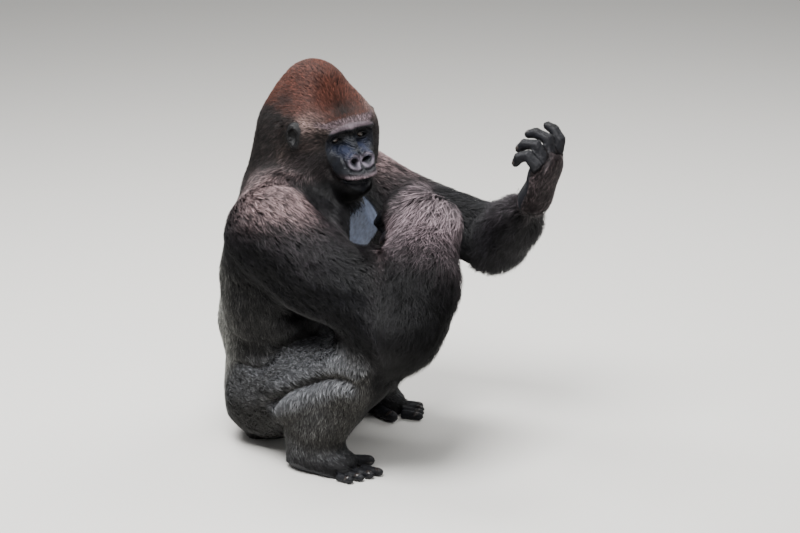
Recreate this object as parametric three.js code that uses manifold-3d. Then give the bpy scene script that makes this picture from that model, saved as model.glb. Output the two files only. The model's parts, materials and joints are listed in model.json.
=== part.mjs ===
// A silverback western lowland gorilla, life size, sitting with its knees drawn up. Its right hand is at its
// mouth and its left hand is held out, half closed. The forms reach out to the tips of the coat.
// Millimetres. +Z is up, +X is the way the body faces and +Y is its left. The origin is on the floor,
// under the middle of the rump.

import * as THREE from 'three';
import { mergeVertices } from 'three/addons/utils/BufferGeometryUtils.js';
import Module from 'manifold-3d';

const wasm = await Module();
wasm.setup();

const GAP = 0.5; // clearance between pieces that touch
const JOIN_SOFTNESS = 40; // how widely one part of the body flows into the next
const FLOOR_DIP = 6; // how far soft flesh would sink below the floor: it makes the flats that the animal rests on

const vec = (x, y, z) => new THREE.Vector3(x, y, z);
const mix = (a, b, t) => a.clone().lerp(b, t);
const degrees = THREE.MathUtils.degToRad;

// ---------------------------------------------------------------- the skeleton: where the joints are

const shoulder = { right: vec(140, -226, 604), left: vec(196, 222, 604) };
const elbow = { right: vec(500, -270, 418), left: vec(556, 290, 506) };
const wrist = { right: vec(508, -80, 640), left: vec(724, 108, 674) };
const hip = { right: vec(84, -118, 148), left: vec(84, 118, 148) };
const knee = { right: vec(396, -262, 288), left: vec(352, 226, 268) };
const ankle = { right: vec(244, -246, 72), left: vec(184, 222, 72) };
const sideSign = { right: -1, left: 1 };
const SIDES = ['right', 'left'];

// ---------------------------------------------------------------- distance fields: rods, eggs and blends

// A form is a distance field with the box that holds it. The distance is negative inside.
const form = (at, lo, hi) => ({ at, box: new THREE.Box3(lo, hi) });

// A limb-like bar from a to b, thicker at one end.
function rod(a, b, startRadius, endRadius) {
  const dx = b.x - a.x;
  const dy = b.y - a.y;
  const dz = b.z - a.z;
  const lengthSquared = dx * dx + dy * dy + dz * dz;
  const at = (x, y, z) => {
    const along = ((x - a.x) * dx + (y - a.y) * dy + (z - a.z) * dz) / lengthSquared;
    const t = Math.min(1, Math.max(0, along));
    const away = Math.hypot(x - a.x - dx * t, y - a.y - dy * t, z - a.z - dz * t);
    return away - startRadius - (endRadius - startRadius) * t;
  };
  const box = new THREE.Box3().setFromPoints([a, b]).expandByScalar(Math.max(startRadius, endRadius));
  return form(at, box.min, box.max);
}

// An ellipsoid with its own three radii, turned by a quaternion.
function egg(centre, radii, turn = new THREE.Quaternion()) {
  const axes = [vec(1, 0, 0), vec(0, 1, 0), vec(0, 0, 1)].map((axis) => axis.applyQuaternion(turn));
  const at = (x, y, z) => {
    const px = x - centre.x;
    const py = y - centre.y;
    const pz = z - centre.z;
    let scaled = 0;
    let slope = 0;
    for (let i = 0; i < 3; i += 1) {
      const q = (px * axes[i].x + py * axes[i].y + pz * axes[i].z) / radii[i];
      scaled += q * q;
      slope += (q * q) / (radii[i] * radii[i]);
    }
    const k = Math.sqrt(scaled);
    return k < 1e-6 ? -Math.min(...radii) : (k * (k - 1)) / Math.sqrt(slope);
  };
  const reach = Math.max(...radii);
  return form(at, centre.clone().subScalar(reach), centre.clone().addScalar(reach));
}

// The union of several forms, each flowing into the others over the given width.
function blend(softness, ...forms) {
  const at = (x, y, z) => {
    let nearest = Infinity;
    for (const f of forms) {
      const d = f.at(x, y, z);
      const overlap = Math.max(0, softness - Math.abs(nearest - d)) / softness;
      nearest = Math.min(nearest, d) - (overlap * overlap * softness) / 4;
    }
    return nearest;
  };
  const box = forms.reduce((all, f) => all.union(f.box), new THREE.Box3());
  return form(at, box.min, box.max);
}

// A form with others hollowed out of it, over the given width.
function hollow(base, softness, ...cutters) {
  const at = (x, y, z) => {
    let d = base.at(x, y, z);
    for (const cutter of cutters) {
      const inside = -cutter.at(x, y, z);
      const overlap = Math.max(0, softness - Math.abs(d - inside)) / softness;
      d = Math.max(d, inside) + (overlap * overlap * softness) / 4;
    }
    return d;
  };
  return form(at, base.box.min, base.box.max);
}

// ---------------------------------------------------------------- the trunk and neck

const CHEST_HALF_WIDTH = 222;
const CHEST_HALF_DEPTH = 172;
const BELLY_HALF_WIDTH = 200;
const BREAST_MIDDLE = vec(262, 0, 540); // where the two breast muscles meet
const SHOULDER_BLADE_TOP = vec(70, 0, 670);

const eachSide = (make) => SIDES.map((side) => make(side, sideSign[side]));

const trunk = blend(
  55,
  ...eachSide((side, s) => egg(vec(36, s * 88, 104 - FLOOR_DIP), [100, 98, 104])), // buttocks
  egg(vec(24, 0, 100 - 2 * FLOOR_DIP), [104, 92, 100]), // the seat between them
  egg(vec(66, 0, 190), [138, 172, 145]), // pelvis
  egg(vec(86, 0, 330), [202, BELLY_HALF_WIDTH, 185]), // belly
  egg(vec(96, 0, 510), [CHEST_HALF_DEPTH, CHEST_HALF_WIDTH, 195]), // ribcage
  egg(vec(104, 0, 640), [136, 190, 105]), // upper back
  ...eachSide((side, s) => egg(mix(shoulder[side], BREAST_MIDDLE.clone().add(vec(0, s * 60, 0)), 0.6), [84, 92, 84])),
  ...eachSide((side, s) => egg(mix(shoulder[side], SHOULDER_BLADE_TOP.clone().add(vec(0, s * 100, 0)), 0.5), [92, 92, 84])),
  ...eachSide((side, s) => egg(vec(66, s * 184, 458), [98, 96, 158])), // broad muscles of the back, under the arms
);

const neck = blend(
  45,
  rod(vec(104, 0, 700), vec(112, -4, 830), 132, 112), // nape
  rod(vec(150, 0, 650), vec(196, -20, 752), 88, 66), // throat
);

// ---------------------------------------------------------------- the head, in a frame of its own

// The frame sits between the ears. Its +X is the way the face looks, +Y the animal's left and +Z up the face.
const HEAD_CENTRE = vec(190, -12, 854);
const HEAD_TURN = -35; // degrees to its right of the way the body faces
const HEAD_NOD = 8; // degrees down
const HEAD_TILT = 5; // degrees towards its right shoulder
const headTurn = new THREE.Quaternion().setFromEuler(
  new THREE.Euler(degrees(HEAD_TILT), degrees(HEAD_NOD), degrees(HEAD_TURN), 'ZYX'),
);
const onHead = (x, y, z) => vec(x, y, z).applyQuaternion(headTurn).add(HEAD_CENTRE);
const headEgg = (x, y, z, radii, lean = 0) =>
  egg(
    onHead(x, y, z),
    radii,
    headTurn.clone().multiply(new THREE.Quaternion().setFromAxisAngle(vec(0, 1, 0), degrees(lean))),
  );
const headRod = (from, to, startRadius, endRadius) => rod(onHead(...from), onHead(...to), startRadius, endRadius);
const bothSides = (make) => [1, -1].flatMap((s) => make(s));

const EYE_SPACING = 74;
const EYE_RADIUS = 13;
const EYE_AHEAD = 102;
const EYE_HEIGHT = 4;

const head = blend(
  40,
  headEgg(-14, 0, 26, [104, 100, 80]), // braincase under the coat
  headEgg(-52, 0, 76, [96, 76, 84], -22), // crest and crown pad
  headEgg(-84, 0, 18, [82, 94, 100]), // nape of the skull
  ...bothSides((s) => [
    headEgg(40, s * 60, 20, [66, 46, 56]), // temple
    headEgg(26, s * 78, -72, [76, 52, 92], 14), // jaw muscle and its whiskers
  ]),
  headEgg(40, 0, -120, [84, 86, 52], 14), // beard and throat side of the jaw
);

const face = hollow(
  blend(
    20,
    headRod([103, -46, 32], [103, 46, 32], 19, 19), // brow ridge
    ...bothSides((s) => [
      headRod([103, s * 46, 32], [82, s * 76, 12], 18, 17), // outer end of the brow
      headRod([80, s * 68, -22], [104, s * 50, -34], 24, 20), // cheekbone
      headEgg(150, s * 27, -36, [30, 21, 20]), // wing of the nose
    ]),
    headRod([92, 0, 14], [136, 0, -22], 19, 21), // bridge of the nose
    headEgg(108, 0, -62, [70, 62, 54], 10), // muzzle
    headEgg(161, 0, -71, [40, 50, 18], 6), // upper lip
    headEgg(124, 0, -110, [62, 54, 32], 12), // lower lip and chin
    headEgg(96, 0, -132, [62, 56, 36], 14), // beard under the chin
  ),
  10,
  ...bothSides((s) => [
    headEgg(132, s * (EYE_SPACING / 2 + 1), 5, [42, 27, 22]), // eye socket
    headEgg(178, s * 15, -39, [18, 12, 9], -25), // nostril
  ]),
  headRod([202, -42, -85], [202, 42, -85], 9, 9), // line of the mouth
);

// ---------------------------------------------------------------- arms and legs

// At the shoulder or elbow end, then at the other end. The left arm is stretched, and its hair lies flatter.
const ARM_RADIUS = { right: [116, 98], left: [106, 76] };
const FOREARM_RADIUS = { right: [106, 80], left: [70, 32] };
const UNDERARM_DROP = { right: 36, left: 76 }; // how far the fur under the upper arm hangs below its bone
const ELBOW_DROP = { right: 46, left: 26 }; // how far the long hair of the elbow hangs below it
const THIGH_RADIUS = [124, 80];
const SHIN_RADIUS = [82, 60];

function upperArm(side, s) {
  const middle = mix(shoulder[side], elbow[side], 0.4);
  return blend(
    45,
    rod(shoulder[side], elbow[side], ...ARM_RADIUS[side]),
    egg(shoulder[side].clone().add(vec(-10, s * 18, 8)), [112, 92, 112]), // the cap of the shoulder
    egg(middle.clone().add(vec(-18, s * 6, -UNDERARM_DROP[side])), [118, 84, 78]), // triceps
  );
}

function forearm(side) {
  const [atElbow, atWrist] = FOREARM_RADIUS[side];
  const belly = mix(elbow[side], wrist[side], 0.4).add(vec(atElbow * 0.22, 0, 0));
  return blend(
    40,
    rod(elbow[side], wrist[side], atElbow, atWrist),
    egg(elbow[side].clone().add(vec(-16, 0, -ELBOW_DROP[side])), [78, 72, 74]), // long hair of the elbow
    egg(belly, [atElbow, atElbow, atElbow]),
  );
}

function thigh(side) {
  return blend(
    45,
    rod(hip[side], knee[side], ...THIGH_RADIUS),
    egg(mix(hip[side], knee[side], 0.42).add(vec(0, 0, -14)), [126, 98, 106]),
  );
}

function lowerLeg(side, s) {
  const calf = mix(knee[side], ankle[side], 0.5).add(vec(-46, s * 6, -10)); // pressed against the thigh
  return blend(35, rod(knee[side], ankle[side], ...SHIN_RADIUS), egg(calf, [104, 74, 92]));
}

// ---------------------------------------------------------------- hands and feet

// A limb's end has its own frame: along it, out of its back, and across it towards the thumb or big toe.
function endFrame(origin, along, back, thumbSide) {
  const x = along.clone().normalize();
  const z = back.clone().addScaledVector(x, -back.dot(x)).normalize();
  const left = z.clone().cross(x);
  const y = left.clone().multiplyScalar(thumbSide);
  const turn = new THREE.Quaternion().setFromRotationMatrix(new THREE.Matrix4().makeBasis(x, left, z));
  const point = (alongBy, acrossBy, outBy) =>
    origin.clone().addScaledVector(x, alongBy).addScaledVector(y, acrossBy).addScaledVector(z, outBy);
  return { x, y, z, turn, point };
}

const handFrame = {
  right: endFrame(wrist.right, vec(-0.9, 0.3, 0.3), vec(0.2, -0.5, 0.85), 1),
  left: endFrame(wrist.left, vec(0.3, 0.03, 0.95), vec(0.93, -0.1, -0.28), -1),
};
const PALM_LENGTH = 112;
const WRIST_RADIUS = { right: 46, left: 26 };
const BACK_FUR = { right: 22, left: 0 }; // depth of the fur on the back of the hand

function palm(side) {
  const hand = handFrame[side];
  const fur = BACK_FUR[side];
  return blend(
    30,
    egg(hand.point(62, 2, fur / 2), [76, 66, 30 + fur / 2], hand.turn), // palm and the fur on its back
    rod(hand.point(100, 42, 2), hand.point(92, -46, 0), 25, 23), // row of knuckles
    rod(hand.point(18, 26, -10), hand.point(52, 60, -16), 28, 22), // ball of the thumb
    rod(hand.point(-20, 0, 0), hand.point(40, 0, 0), WRIST_RADIUS[side], WRIST_RADIUS[side] - 4),
  );
}

// A digit is a chain of bones that bends towards the palm. It gives the points along its middle.
function digitPath(frame, root, heading, bones, bends) {
  const hinge = frame.z.clone().cross(heading).normalize();
  const direction = heading.clone().normalize();
  const points = [root.clone()];
  bones.forEach((bone, i) => {
    direction.applyAxisAngle(hinge, degrees(bends[i]));
    points.push(points[points.length - 1].clone().addScaledVector(direction, bone));
  });
  return points;
}

const FINGERS = ['forefinger', 'middle_finger', 'ring_finger', 'little_finger'];
const FINGER_BONES = [[50, 32, 20], [55, 36, 21], [51, 34, 20], [43, 27, 18]];
const FINGER_SPACING = 35;
const FINGER_RADII = [17, 16.5, 15, 11]; // at the root, at each joint and at the tip
const FINGER_BENDS = {
  right: [[62, 76, 40], [66, 78, 42], [68, 80, 44], [70, 80, 44]],
  left: [[10, 46, 30], [30, 60, 34], [46, 66, 36], [60, 68, 38]],
};
const THUMB_BONES = [38, 25];
const THUMB_RADII = [16, 14.5, 10.5];
const THUMB_BENDS = { right: [24, 20], left: [28, 24] };

function fingers(side) {
  const frame = handFrame[side];
  const made = FINGERS.map((name, i) => {
    const root = frame.point(PALM_LENGTH - 3 * (i - 1) ** 2, (1.45 - i) * FINGER_SPACING, 0);
    const heading = frame.x.clone().addScaledVector(frame.y, 0.07 * (1.5 - i));
    const path = digitPath(frame, root, heading, FINGER_BONES[i], FINGER_BENDS[side][i]);
    return { name, path, radii: FINGER_RADII };
  });
  const thumbHeading = frame.x.clone().addScaledVector(frame.y, 0.75).addScaledVector(frame.z, -0.35);
  const thumbPath = digitPath(frame, frame.point(56, 62, -16), thumbHeading, THUMB_BONES, THUMB_BENDS[side]);
  return [...made, { name: 'thumb', path: thumbPath, radii: THUMB_RADII }];
}

const TOE_OUT = { right: 12, left: 2 }; // degrees that each foot points outward
const HEEL_BEHIND_ANKLE = 48;
const SOLE_LENGTH = 196; // from the heel to the roots of the toes
const TOES = ['big_toe', 'second_toe', 'third_toe', 'fourth_toe', 'little_toe'];
const TOE_LENGTHS = [64, 54, 52, 48, 42];
const TOE_RADIUS = 13;
const BIG_TOE_THICKNESS = 1.4; // times the others
const TOE_SPACING = 27;

function footFrame(side, s) {
  const out = degrees(TOE_OUT[side]);
  const heel = vec(ankle[side].x - HEEL_BEHIND_ANKLE, ankle[side].y, 0);
  return endFrame(heel, vec(Math.cos(out), s * Math.sin(out), 0), vec(0, 0, 1), -s);
}

function foot(frame) {
  return blend(
    26,
    egg(frame.point(26, 0, 36 - FLOOR_DIP), [46, 38, 40], frame.turn), // heel
    rod(frame.point(52, 0, 52), frame.point(120, 4, 38), 42, 33), // instep
    rod(frame.point(70, 26, 26), frame.point(150, 40, 22), 26, 22), // inner edge of the sole
    rod(frame.point(60, -22, 24), frame.point(168, -36, 20), 26, 21), // outer edge of the sole
    rod(frame.point(165, 34, 22), frame.point(165, -36, 20), 23, 21), // ball of the foot
  );
}

function toes(frame) {
  return TOES.map((name, i) => {
    const big = i === 0;
    const thick = big ? BIG_TOE_THICKNESS : 1 - 0.03 * i;
    const along = big ? 122 : SOLE_LENGTH - 12 - 6 * (i - 1);
    const across = big ? 54 : 41 - TOE_SPACING * (i - 1);
    const root = frame.point(along, across, TOE_RADIUS * thick - 1);
    const heading = frame.x.clone().addScaledVector(frame.y, big ? 0.62 : 0.05 * (2.5 - i));
    const radii = [1, 0.85].map((share) => share * thick * TOE_RADIUS);
    return { name, path: digitPath(frame, root, heading, [TOE_LENGTHS[i]], [0]), radii };
  });
}

// ---------------------------------------------------------------- from fields and paths to closed meshes

// Moves a point that is near a field's surface onto it.
function settled(at, [x, y, z], cell) {
  const d = at(x, y, z);
  const reach = cell * 0.05;
  const slope = [at(x + reach, y, z), at(x, y + reach, z), at(x, y, z + reach)].map((near) => (near - d) / reach);
  const steepness = slope.reduce((sum, value) => sum + value * value, 0);
  if (Math.abs(d) > cell * 0.35 || steepness < 0.2) return [x, y, z];
  return [x, y, z].map((value, m) => value - (d * slope[m]) / steepness);
}

// Evens out the spacing of the points along the surface, then puts each back onto it.
function evened(at, points, quads, cell) {
  const sums = points.map(() => [0, 0, 0, 0]);
  for (const quad of quads) {
    quad.forEach((corner, i) => {
      const next = quad[(i + 1) % 4];
      for (const [to, from] of [[corner, next], [next, corner]]) {
        for (let m = 0; m < 3; m += 1) sums[to][m] += points[from][m];
        sums[to][3] += 1;
      }
    });
  }
  return points.map((point, i) => {
    const halfway = point.map((value, m) => (sums[i][m] / sums[i][3] + value) / 2);
    return settled(at, halfway, cell);
  });
}

const EVENING_ROUNDS = 3;

// Where only two opposite corners of a grid face lie inside, the mesh would pinch to a line there. The lesser of
// the other two corners is taken inside as well, until no face is left like that.
function unpinch(values, step) {
  for (let changed = true; changed; ) {
    changed = false;
    for (let i = 0; i < values.length; i += 1) {
      for (let axis = 0; axis < 3; axis += 1) {
        const u = step[axis];
        const v = step[(axis + 1) % 3];
        const corners = [i, i + u, i + u + v, i + v];
        const inside = corners.map((corner) => values[corner] < 0);
        if (inside[0] !== inside[2] || inside[1] !== inside[3] || inside[0] === inside[1]) continue;
        const [a, b] = corners.filter((corner, c) => !inside[c]);
        values[values[a] < values[b] ? a : b] = -1e-6;
        changed = true;
      }
    }
  }
}

// Wraps a mesh round the part of a field that lies inside the box: one point in each cell that the surface
// crosses, at the mean of its crossings, and one quad for each grid edge that it crosses.
function wrap(at, box, cell) {
  const lo = box.min.clone().subScalar(cell * 1.6);
  const size = box.max.clone().sub(lo).divideScalar(cell);
  const n = [size.x, size.y, size.z].map((s) => Math.ceil(s) + 3);
  const step = [1, n[0], n[0] * n[1]];
  const values = new Float64Array(n[0] * n[1] * n[2]);
  for (let k = 0, i = 0; k < n[2]; k += 1) {
    for (let j = 0; j < n[1]; j += 1) {
      for (let l = 0; l < n[0]; l += 1, i += 1) {
        const edge = l === 0 || j === 0 || k === 0 || l === n[0] - 1 || j === n[1] - 1 || k === n[2] - 1;
        const d = at(lo.x + l * cell, lo.y + j * cell, lo.z + k * cell);
        values[i] = edge ? Math.max(d, cell) : d || 1e-6;
      }
    }
  }
  unpinch(values, step);
  const corner = (i, c) => i + (c & 1) * step[0] + ((c >> 1) & 1) * step[1] + ((c >> 2) & 1) * step[2];
  let points = [];
  const pointOf = new Map();
  const cellPoint = (i) => {
    if (pointOf.has(i)) return pointOf.get(i);
    const base = [i % n[0], Math.floor(i / n[0]) % n[1], Math.floor(i / step[2])];
    const sum = [0, 0, 0];
    let crossings = 0;
    for (let c = 0; c < 8; c += 1) {
      for (let axis = 0; axis < 3; axis += 1) {
        if ((c >> axis) & 1) continue;
        const a = values[corner(i, c)];
        const b = values[corner(i, c | (1 << axis))];
        if (a < 0 === b < 0) continue;
        for (let m = 0; m < 3; m += 1) sum[m] += base[m] + ((c >> m) & 1) + (m === axis ? a / (a - b) : 0);
        crossings += 1;
      }
    }
    const mean = sum.map((total, m) => lo.getComponent(m) + (cell * total) / crossings);
    pointOf.set(i, points.length);
    points.push(settled(at, mean, cell));
    return points.length - 1;
  };
  const quads = [];
  for (let i = 0; i < values.length; i += 1) {
    for (let axis = 0; axis < 3; axis += 1) {
      const j = i + step[axis];
      if (j >= values.length || values[i] < 0 === values[j] < 0) continue;
      const u = step[(axis + 1) % 3];
      const v = step[(axis + 2) % 3];
      const quad = [i - u - v, i - v, i, i - u].map(cellPoint);
      quads.push(values[i] > 0 ? quad.reverse() : quad);
    }
  }
  for (let round = 0; round < EVENING_ROUNDS; round += 1) points = evened(at, points, quads, cell);
  const apart = (a, b) => Math.hypot(...points[a].map((value, m) => value - points[b][m]));
  const index = quads.flatMap(([a, b, c, d]) => (apart(a, c) < apart(b, d) ? [a, b, c, a, c, d] : [b, c, d, b, d, a]));
  return new THREE.BufferGeometry()
    .setAttribute('position', new THREE.Float32BufferAttribute(points.flat(), 3))
    .setIndex(index);
}

const DIGIT_SIDES = 6;

// A digit as one closed skin of rings round its path, with a rounded tip.
function digitGeometry({ path, radii }) {
  const points = [];
  const addRing = (centre, direction, up, radius) => {
    const across = direction.clone().cross(up).normalize();
    const out = across.clone().cross(direction).normalize();
    for (let i = 0; i < DIGIT_SIDES; i += 1) {
      const angle = ((i + 0.5) / DIGIT_SIDES) * 2 * Math.PI;
      const spoke = across.clone().multiplyScalar(Math.cos(angle)).addScaledVector(out, Math.sin(angle));
      points.push(centre.clone().addScaledVector(spoke, radius));
    }
  };
  const headings = path.slice(1).map((point, i) => point.clone().sub(path[i]).normalize());
  const last = headings[headings.length - 1];
  const bend = headings[0].clone().cross(last);
  const up = bend.lengthSq() > 1e-6 ? bend.normalize().cross(headings[0]) : vec(0, 0, 1);
  const upAlong = (direction) => {
    const turn = new THREE.Quaternion().setFromUnitVectors(headings[0], direction);
    return up.clone().applyQuaternion(turn);
  };
  path.forEach((point, i) => {
    const before = headings[Math.max(0, i - 1)];
    const after = headings[Math.min(i, headings.length - 1)];
    const direction = before.clone().add(after).normalize();
    addRing(point, direction, upAlong(direction), radii[i]);
  });
  const tip = path[path.length - 1];
  const tipRadius = radii[path.length - 1];
  addRing(tip.clone().addScaledVector(last, tipRadius * 0.62), last, upAlong(last), tipRadius * 0.72);

  const ringCount = points.length / DIGIT_SIDES;
  const root = points.push(path[0]) - 1;
  const end = points.push(tip.clone().addScaledVector(last, tipRadius)) - 1;
  const index = [];
  for (let i = 0; i < DIGIT_SIDES; i += 1) {
    const next = (i + 1) % DIGIT_SIDES;
    for (let r = 0; r + 1 < ringCount; r += 1) {
      const a = r * DIGIT_SIDES + i;
      const b = r * DIGIT_SIDES + next;
      index.push(a, b + DIGIT_SIDES, b, a, a + DIGIT_SIDES, b + DIGIT_SIDES);
    }
    const lastRing = (ringCount - 1) * DIGIT_SIDES;
    index.push(root, i, next, end, lastRing + next, lastRing + i);
  }
  return new THREE.BufferGeometry().setFromPoints(points).setIndex(index);
}

// An ear is a shallow cup, taller than wide, leaning out of the coat.
// Ahead of, out from and above the middle of the head. The left ear sits a little lower and further back.
const EAR_PLACE = { right: [42, 115, 9], left: [32, 115, -1] };
const EAR_HEIGHT = 66;
const EAR_WIDTH = 42;
const EAR_DEPTH = 26;
const EAR_BACK_LEAN = 14; // degrees
const EAR_OPENING = 24; // degrees that the cup turns towards the front
// Each step from the middle of the back to the middle of the bowl, as shares of the radius and the depth.
const EAR_PROFILE = [[0, -0.5], [0.62, -0.42], [1, 0.1], [1, 0.42], [0.78, 0.5], [0.5, 0.05], [0, -0.08]];

function earGeometry(side, s) {
  const geometry = new THREE.LatheGeometry(EAR_PROFILE.map(([r, h]) => new THREE.Vector2(r, h)), 9);
  geometry.scale(EAR_WIDTH / 2, EAR_DEPTH, EAR_HEIGHT / 2);
  const opening = s > 0 ? -EAR_OPENING : 180 + EAR_OPENING;
  geometry.applyQuaternion(
    new THREE.Quaternion().setFromEuler(new THREE.Euler(0, degrees(-EAR_BACK_LEAN), degrees(opening), 'XYZ')),
  );
  const [ahead, out, above] = EAR_PLACE[side];
  const place = onHead(ahead, s * out, above);
  return geometry.applyQuaternion(headTurn).translate(place.x, place.y, place.z);
}

function eyeGeometry(s) {
  const place = onHead(EYE_AHEAD, (s * EYE_SPACING) / 2, EYE_HEIGHT);
  return new THREE.SphereGeometry(EYE_RADIUS, 8, 6).translate(place.x, place.y, place.z);
}

// ---------------------------------------------------------------- solids, cuts and nodes

// The solid inside a closed mesh, whose surface can be pushed out or in by a little.
function solid(geometry, outward = 0) {
  const bare = geometry.clone();
  bare.deleteAttribute('normal');
  bare.deleteAttribute('uv');
  const merged = mergeVertices(bare, 1e-4);
  merged.computeVertexNormals();
  const positions = merged.attributes.position.array.map((v, i) => v + outward * merged.attributes.normal.array[i]);
  return new wasm.Manifold(
    new wasm.Mesh({ numProp: 3, vertProperties: positions, triVerts: new Uint32Array(merged.index.array) }),
  );
}

const largest = (made) => made.decompose().reduce((a, b) => (b.volume() > a.volume() ? b : a));

const COAT = { brown: 0x4a3a33, black: 0x26242a, silver: 0x77736c, crown: 0x6b3a26, skin: 0x2b2a30, eye: 0x2a1a10 };
const COAT_ROUGHNESS = 0.85;
const SKIN_ROUGHNESS = 0.6;
const EYE_ROUGHNESS = 0.1;
const gorilla = new THREE.Group();

function addNode(name, made, color, roughness = COAT_ROUGHNESS) {
  const mesh = made.getMesh();
  const geometry = new THREE.BufferGeometry()
    .setAttribute('position', new THREE.BufferAttribute(mesh.vertProperties, 3))
    .setIndex(new THREE.BufferAttribute(mesh.triVerts, 1));
  geometry.computeVertexNormals();
  const node = new THREE.Mesh(geometry, new THREE.MeshStandardMaterial({ color, roughness, metalness: 0 }));
  node.name = name;
  gorilla.add(node);
}

const belowFloor = solid(new THREE.BoxGeometry(2400, 2400, 400).translate(0, 0, -200));

// Small whole pieces first. What they sit in is cut back from each by the gap.
const taken = [];

function addPiece(name, geometry, color, roughness) {
  addNode(name, solid(geometry).subtract(belowFloor), color, roughness);
  taken.push(solid(geometry, GAP));
}

for (const side of SIDES) {
  const s = sideSign[side];
  addPiece(`eye_${side}`, eyeGeometry(s), COAT.eye, EYE_ROUGHNESS);
  addPiece(`ear_${side}`, earGeometry(side, s), COAT.skin, SKIN_ROUGHNESS);
  for (const digit of [...fingers(side), ...toes(footFrame(side, s))]) {
    addPiece(`${digit.name}_${side}`, digitGeometry(digit), COAT.skin, SKIN_ROUGHNESS);
  }
}

// The big parts. Each has the mesh size of its surface, and of the cuts that part it from the ones after it.
const limbParts = (side) => {
  const s = sideSign[side];
  return [
    { name: `hand_${side}`, form: palm(side), cell: 34, cutCell: 70, color: COAT.black },
    { name: `forearm_${side}`, form: forearm(side), cell: 60, cutCell: 94, color: COAT.brown },
    { name: `upper_arm_${side}`, form: upperArm(side, s), cell: 67, cutCell: 106, color: COAT.black },
    { name: `foot_${side}`, form: foot(footFrame(side, s)), cell: 37, cutCell: 70, color: COAT.black },
    { name: `lower_leg_${side}`, form: lowerLeg(side, s), cell: 54, cutCell: 90, color: COAT.brown },
    { name: `thigh_${side}`, form: thigh(side), cell: 71, cutCell: 102, color: COAT.brown },
  ];
};
const parts = [
  { name: 'face', form: face, cell: 16.2, cutCell: 44, color: COAT.skin },
  { name: 'head', form: head, cell: 48, cutCell: 88, color: COAT.crown },
  ...SIDES.flatMap(limbParts),
  { name: 'neck', form: neck, cell: 66, cutCell: 104, color: COAT.brown },
  { name: 'trunk', form: trunk, cell: 88, color: COAT.silver },
];
const wholeBody = blend(JOIN_SOFTNESS, ...parts.map((part) => part.form));

// Each part is its own share of the whole body: the room that is nearer to its form than to any later one.
parts.forEach((part, i) => {
  const later = parts.slice(i + 1);
  const room = part.form.box.clone().expandByScalar(JOIN_SOFTNESS / 2);
  let piece = solid(wrap(wholeBody.at, room, part.cell));
  if (later.length) {
    const ahead = (x, y, z) => later.reduce((least, other) => Math.min(least, other.form.at(x, y, z)), Infinity);
    const share = wrap((x, y, z) => part.form.at(x, y, z) - ahead(x, y, z), room, part.cutCell);
    piece = piece.intersect(solid(share, -GAP));
    for (const other of taken) piece = piece.subtract(other);
    taken.push(solid(share, GAP));
  } else {
    for (const other of taken) piece = piece.subtract(other);
  }
  addNode(part.name, largest(piece.subtract(belowFloor)), part.color);
});

export default gorilla;
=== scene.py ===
# %% [markdown]
# # A silverback gorilla, sitting
#
# A museum's model of an animal is built in layers, as the animal is: a body, a skin over it, and a coat on
# the skin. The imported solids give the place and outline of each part, out to the tips of the hair. This
# lesson lays one skin inside them, sculpts the face, hands and folds, and then grows the coat as thin locks
# of solid mesh.

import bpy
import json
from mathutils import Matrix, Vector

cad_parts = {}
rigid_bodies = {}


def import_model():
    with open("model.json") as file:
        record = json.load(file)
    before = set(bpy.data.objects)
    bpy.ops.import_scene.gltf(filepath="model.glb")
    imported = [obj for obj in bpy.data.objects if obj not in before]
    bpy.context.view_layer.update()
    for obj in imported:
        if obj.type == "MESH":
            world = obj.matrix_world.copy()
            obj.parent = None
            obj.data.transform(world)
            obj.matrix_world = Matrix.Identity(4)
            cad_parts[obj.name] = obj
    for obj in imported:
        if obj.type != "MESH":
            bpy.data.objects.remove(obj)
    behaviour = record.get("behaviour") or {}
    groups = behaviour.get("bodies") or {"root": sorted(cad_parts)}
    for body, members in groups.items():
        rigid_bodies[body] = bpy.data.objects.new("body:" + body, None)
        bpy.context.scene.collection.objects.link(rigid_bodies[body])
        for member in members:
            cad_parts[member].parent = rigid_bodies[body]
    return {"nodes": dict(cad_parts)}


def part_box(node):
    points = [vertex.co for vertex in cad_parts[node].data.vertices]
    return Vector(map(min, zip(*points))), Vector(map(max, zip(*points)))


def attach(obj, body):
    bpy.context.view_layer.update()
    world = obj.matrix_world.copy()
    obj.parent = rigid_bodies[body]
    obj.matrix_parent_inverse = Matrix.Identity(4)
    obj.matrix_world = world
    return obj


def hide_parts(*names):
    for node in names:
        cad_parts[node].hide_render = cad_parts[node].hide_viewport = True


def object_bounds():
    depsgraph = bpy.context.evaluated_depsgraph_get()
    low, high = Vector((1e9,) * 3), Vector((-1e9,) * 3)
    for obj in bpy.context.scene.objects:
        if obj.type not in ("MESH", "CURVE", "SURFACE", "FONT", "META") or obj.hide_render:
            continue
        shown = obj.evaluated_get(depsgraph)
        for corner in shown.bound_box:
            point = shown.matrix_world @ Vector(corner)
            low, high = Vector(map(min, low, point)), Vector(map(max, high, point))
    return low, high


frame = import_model()
cad_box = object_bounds()
print("The solids reach from", tuple(cad_box[0]), "to", tuple(cad_box[1]))

# %% What the lesson works with
import json
import math
from collections import namedtuple

import bmesh
import bpy
import numpy as np
from mathutils import Vector
from mathutils.bvhtree import BVHTree
from mathutils.kdtree import KDTree

MM = 0.001
SIDES = ("right", "left")
chance = np.random.default_rng(21)

# %% [markdown]
# ## Meshes as arrays
#
# Sculpting by hand moves points one at a time. In code it is far quicker to take all the points of a mesh
# out as one array, move them together, and put them back. These few helpers do that. They are used all
# through.

# %% Take arrays out of a mesh, and put them back


def taken(collection, attribute, width, kind=float):
    """One attribute of a mesh collection, such as every vertex's place, as an array of that width."""
    flat = np.empty(len(collection) * width, kind)
    collection.foreach_get(attribute, flat)
    return flat.reshape(-1, width)


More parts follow.
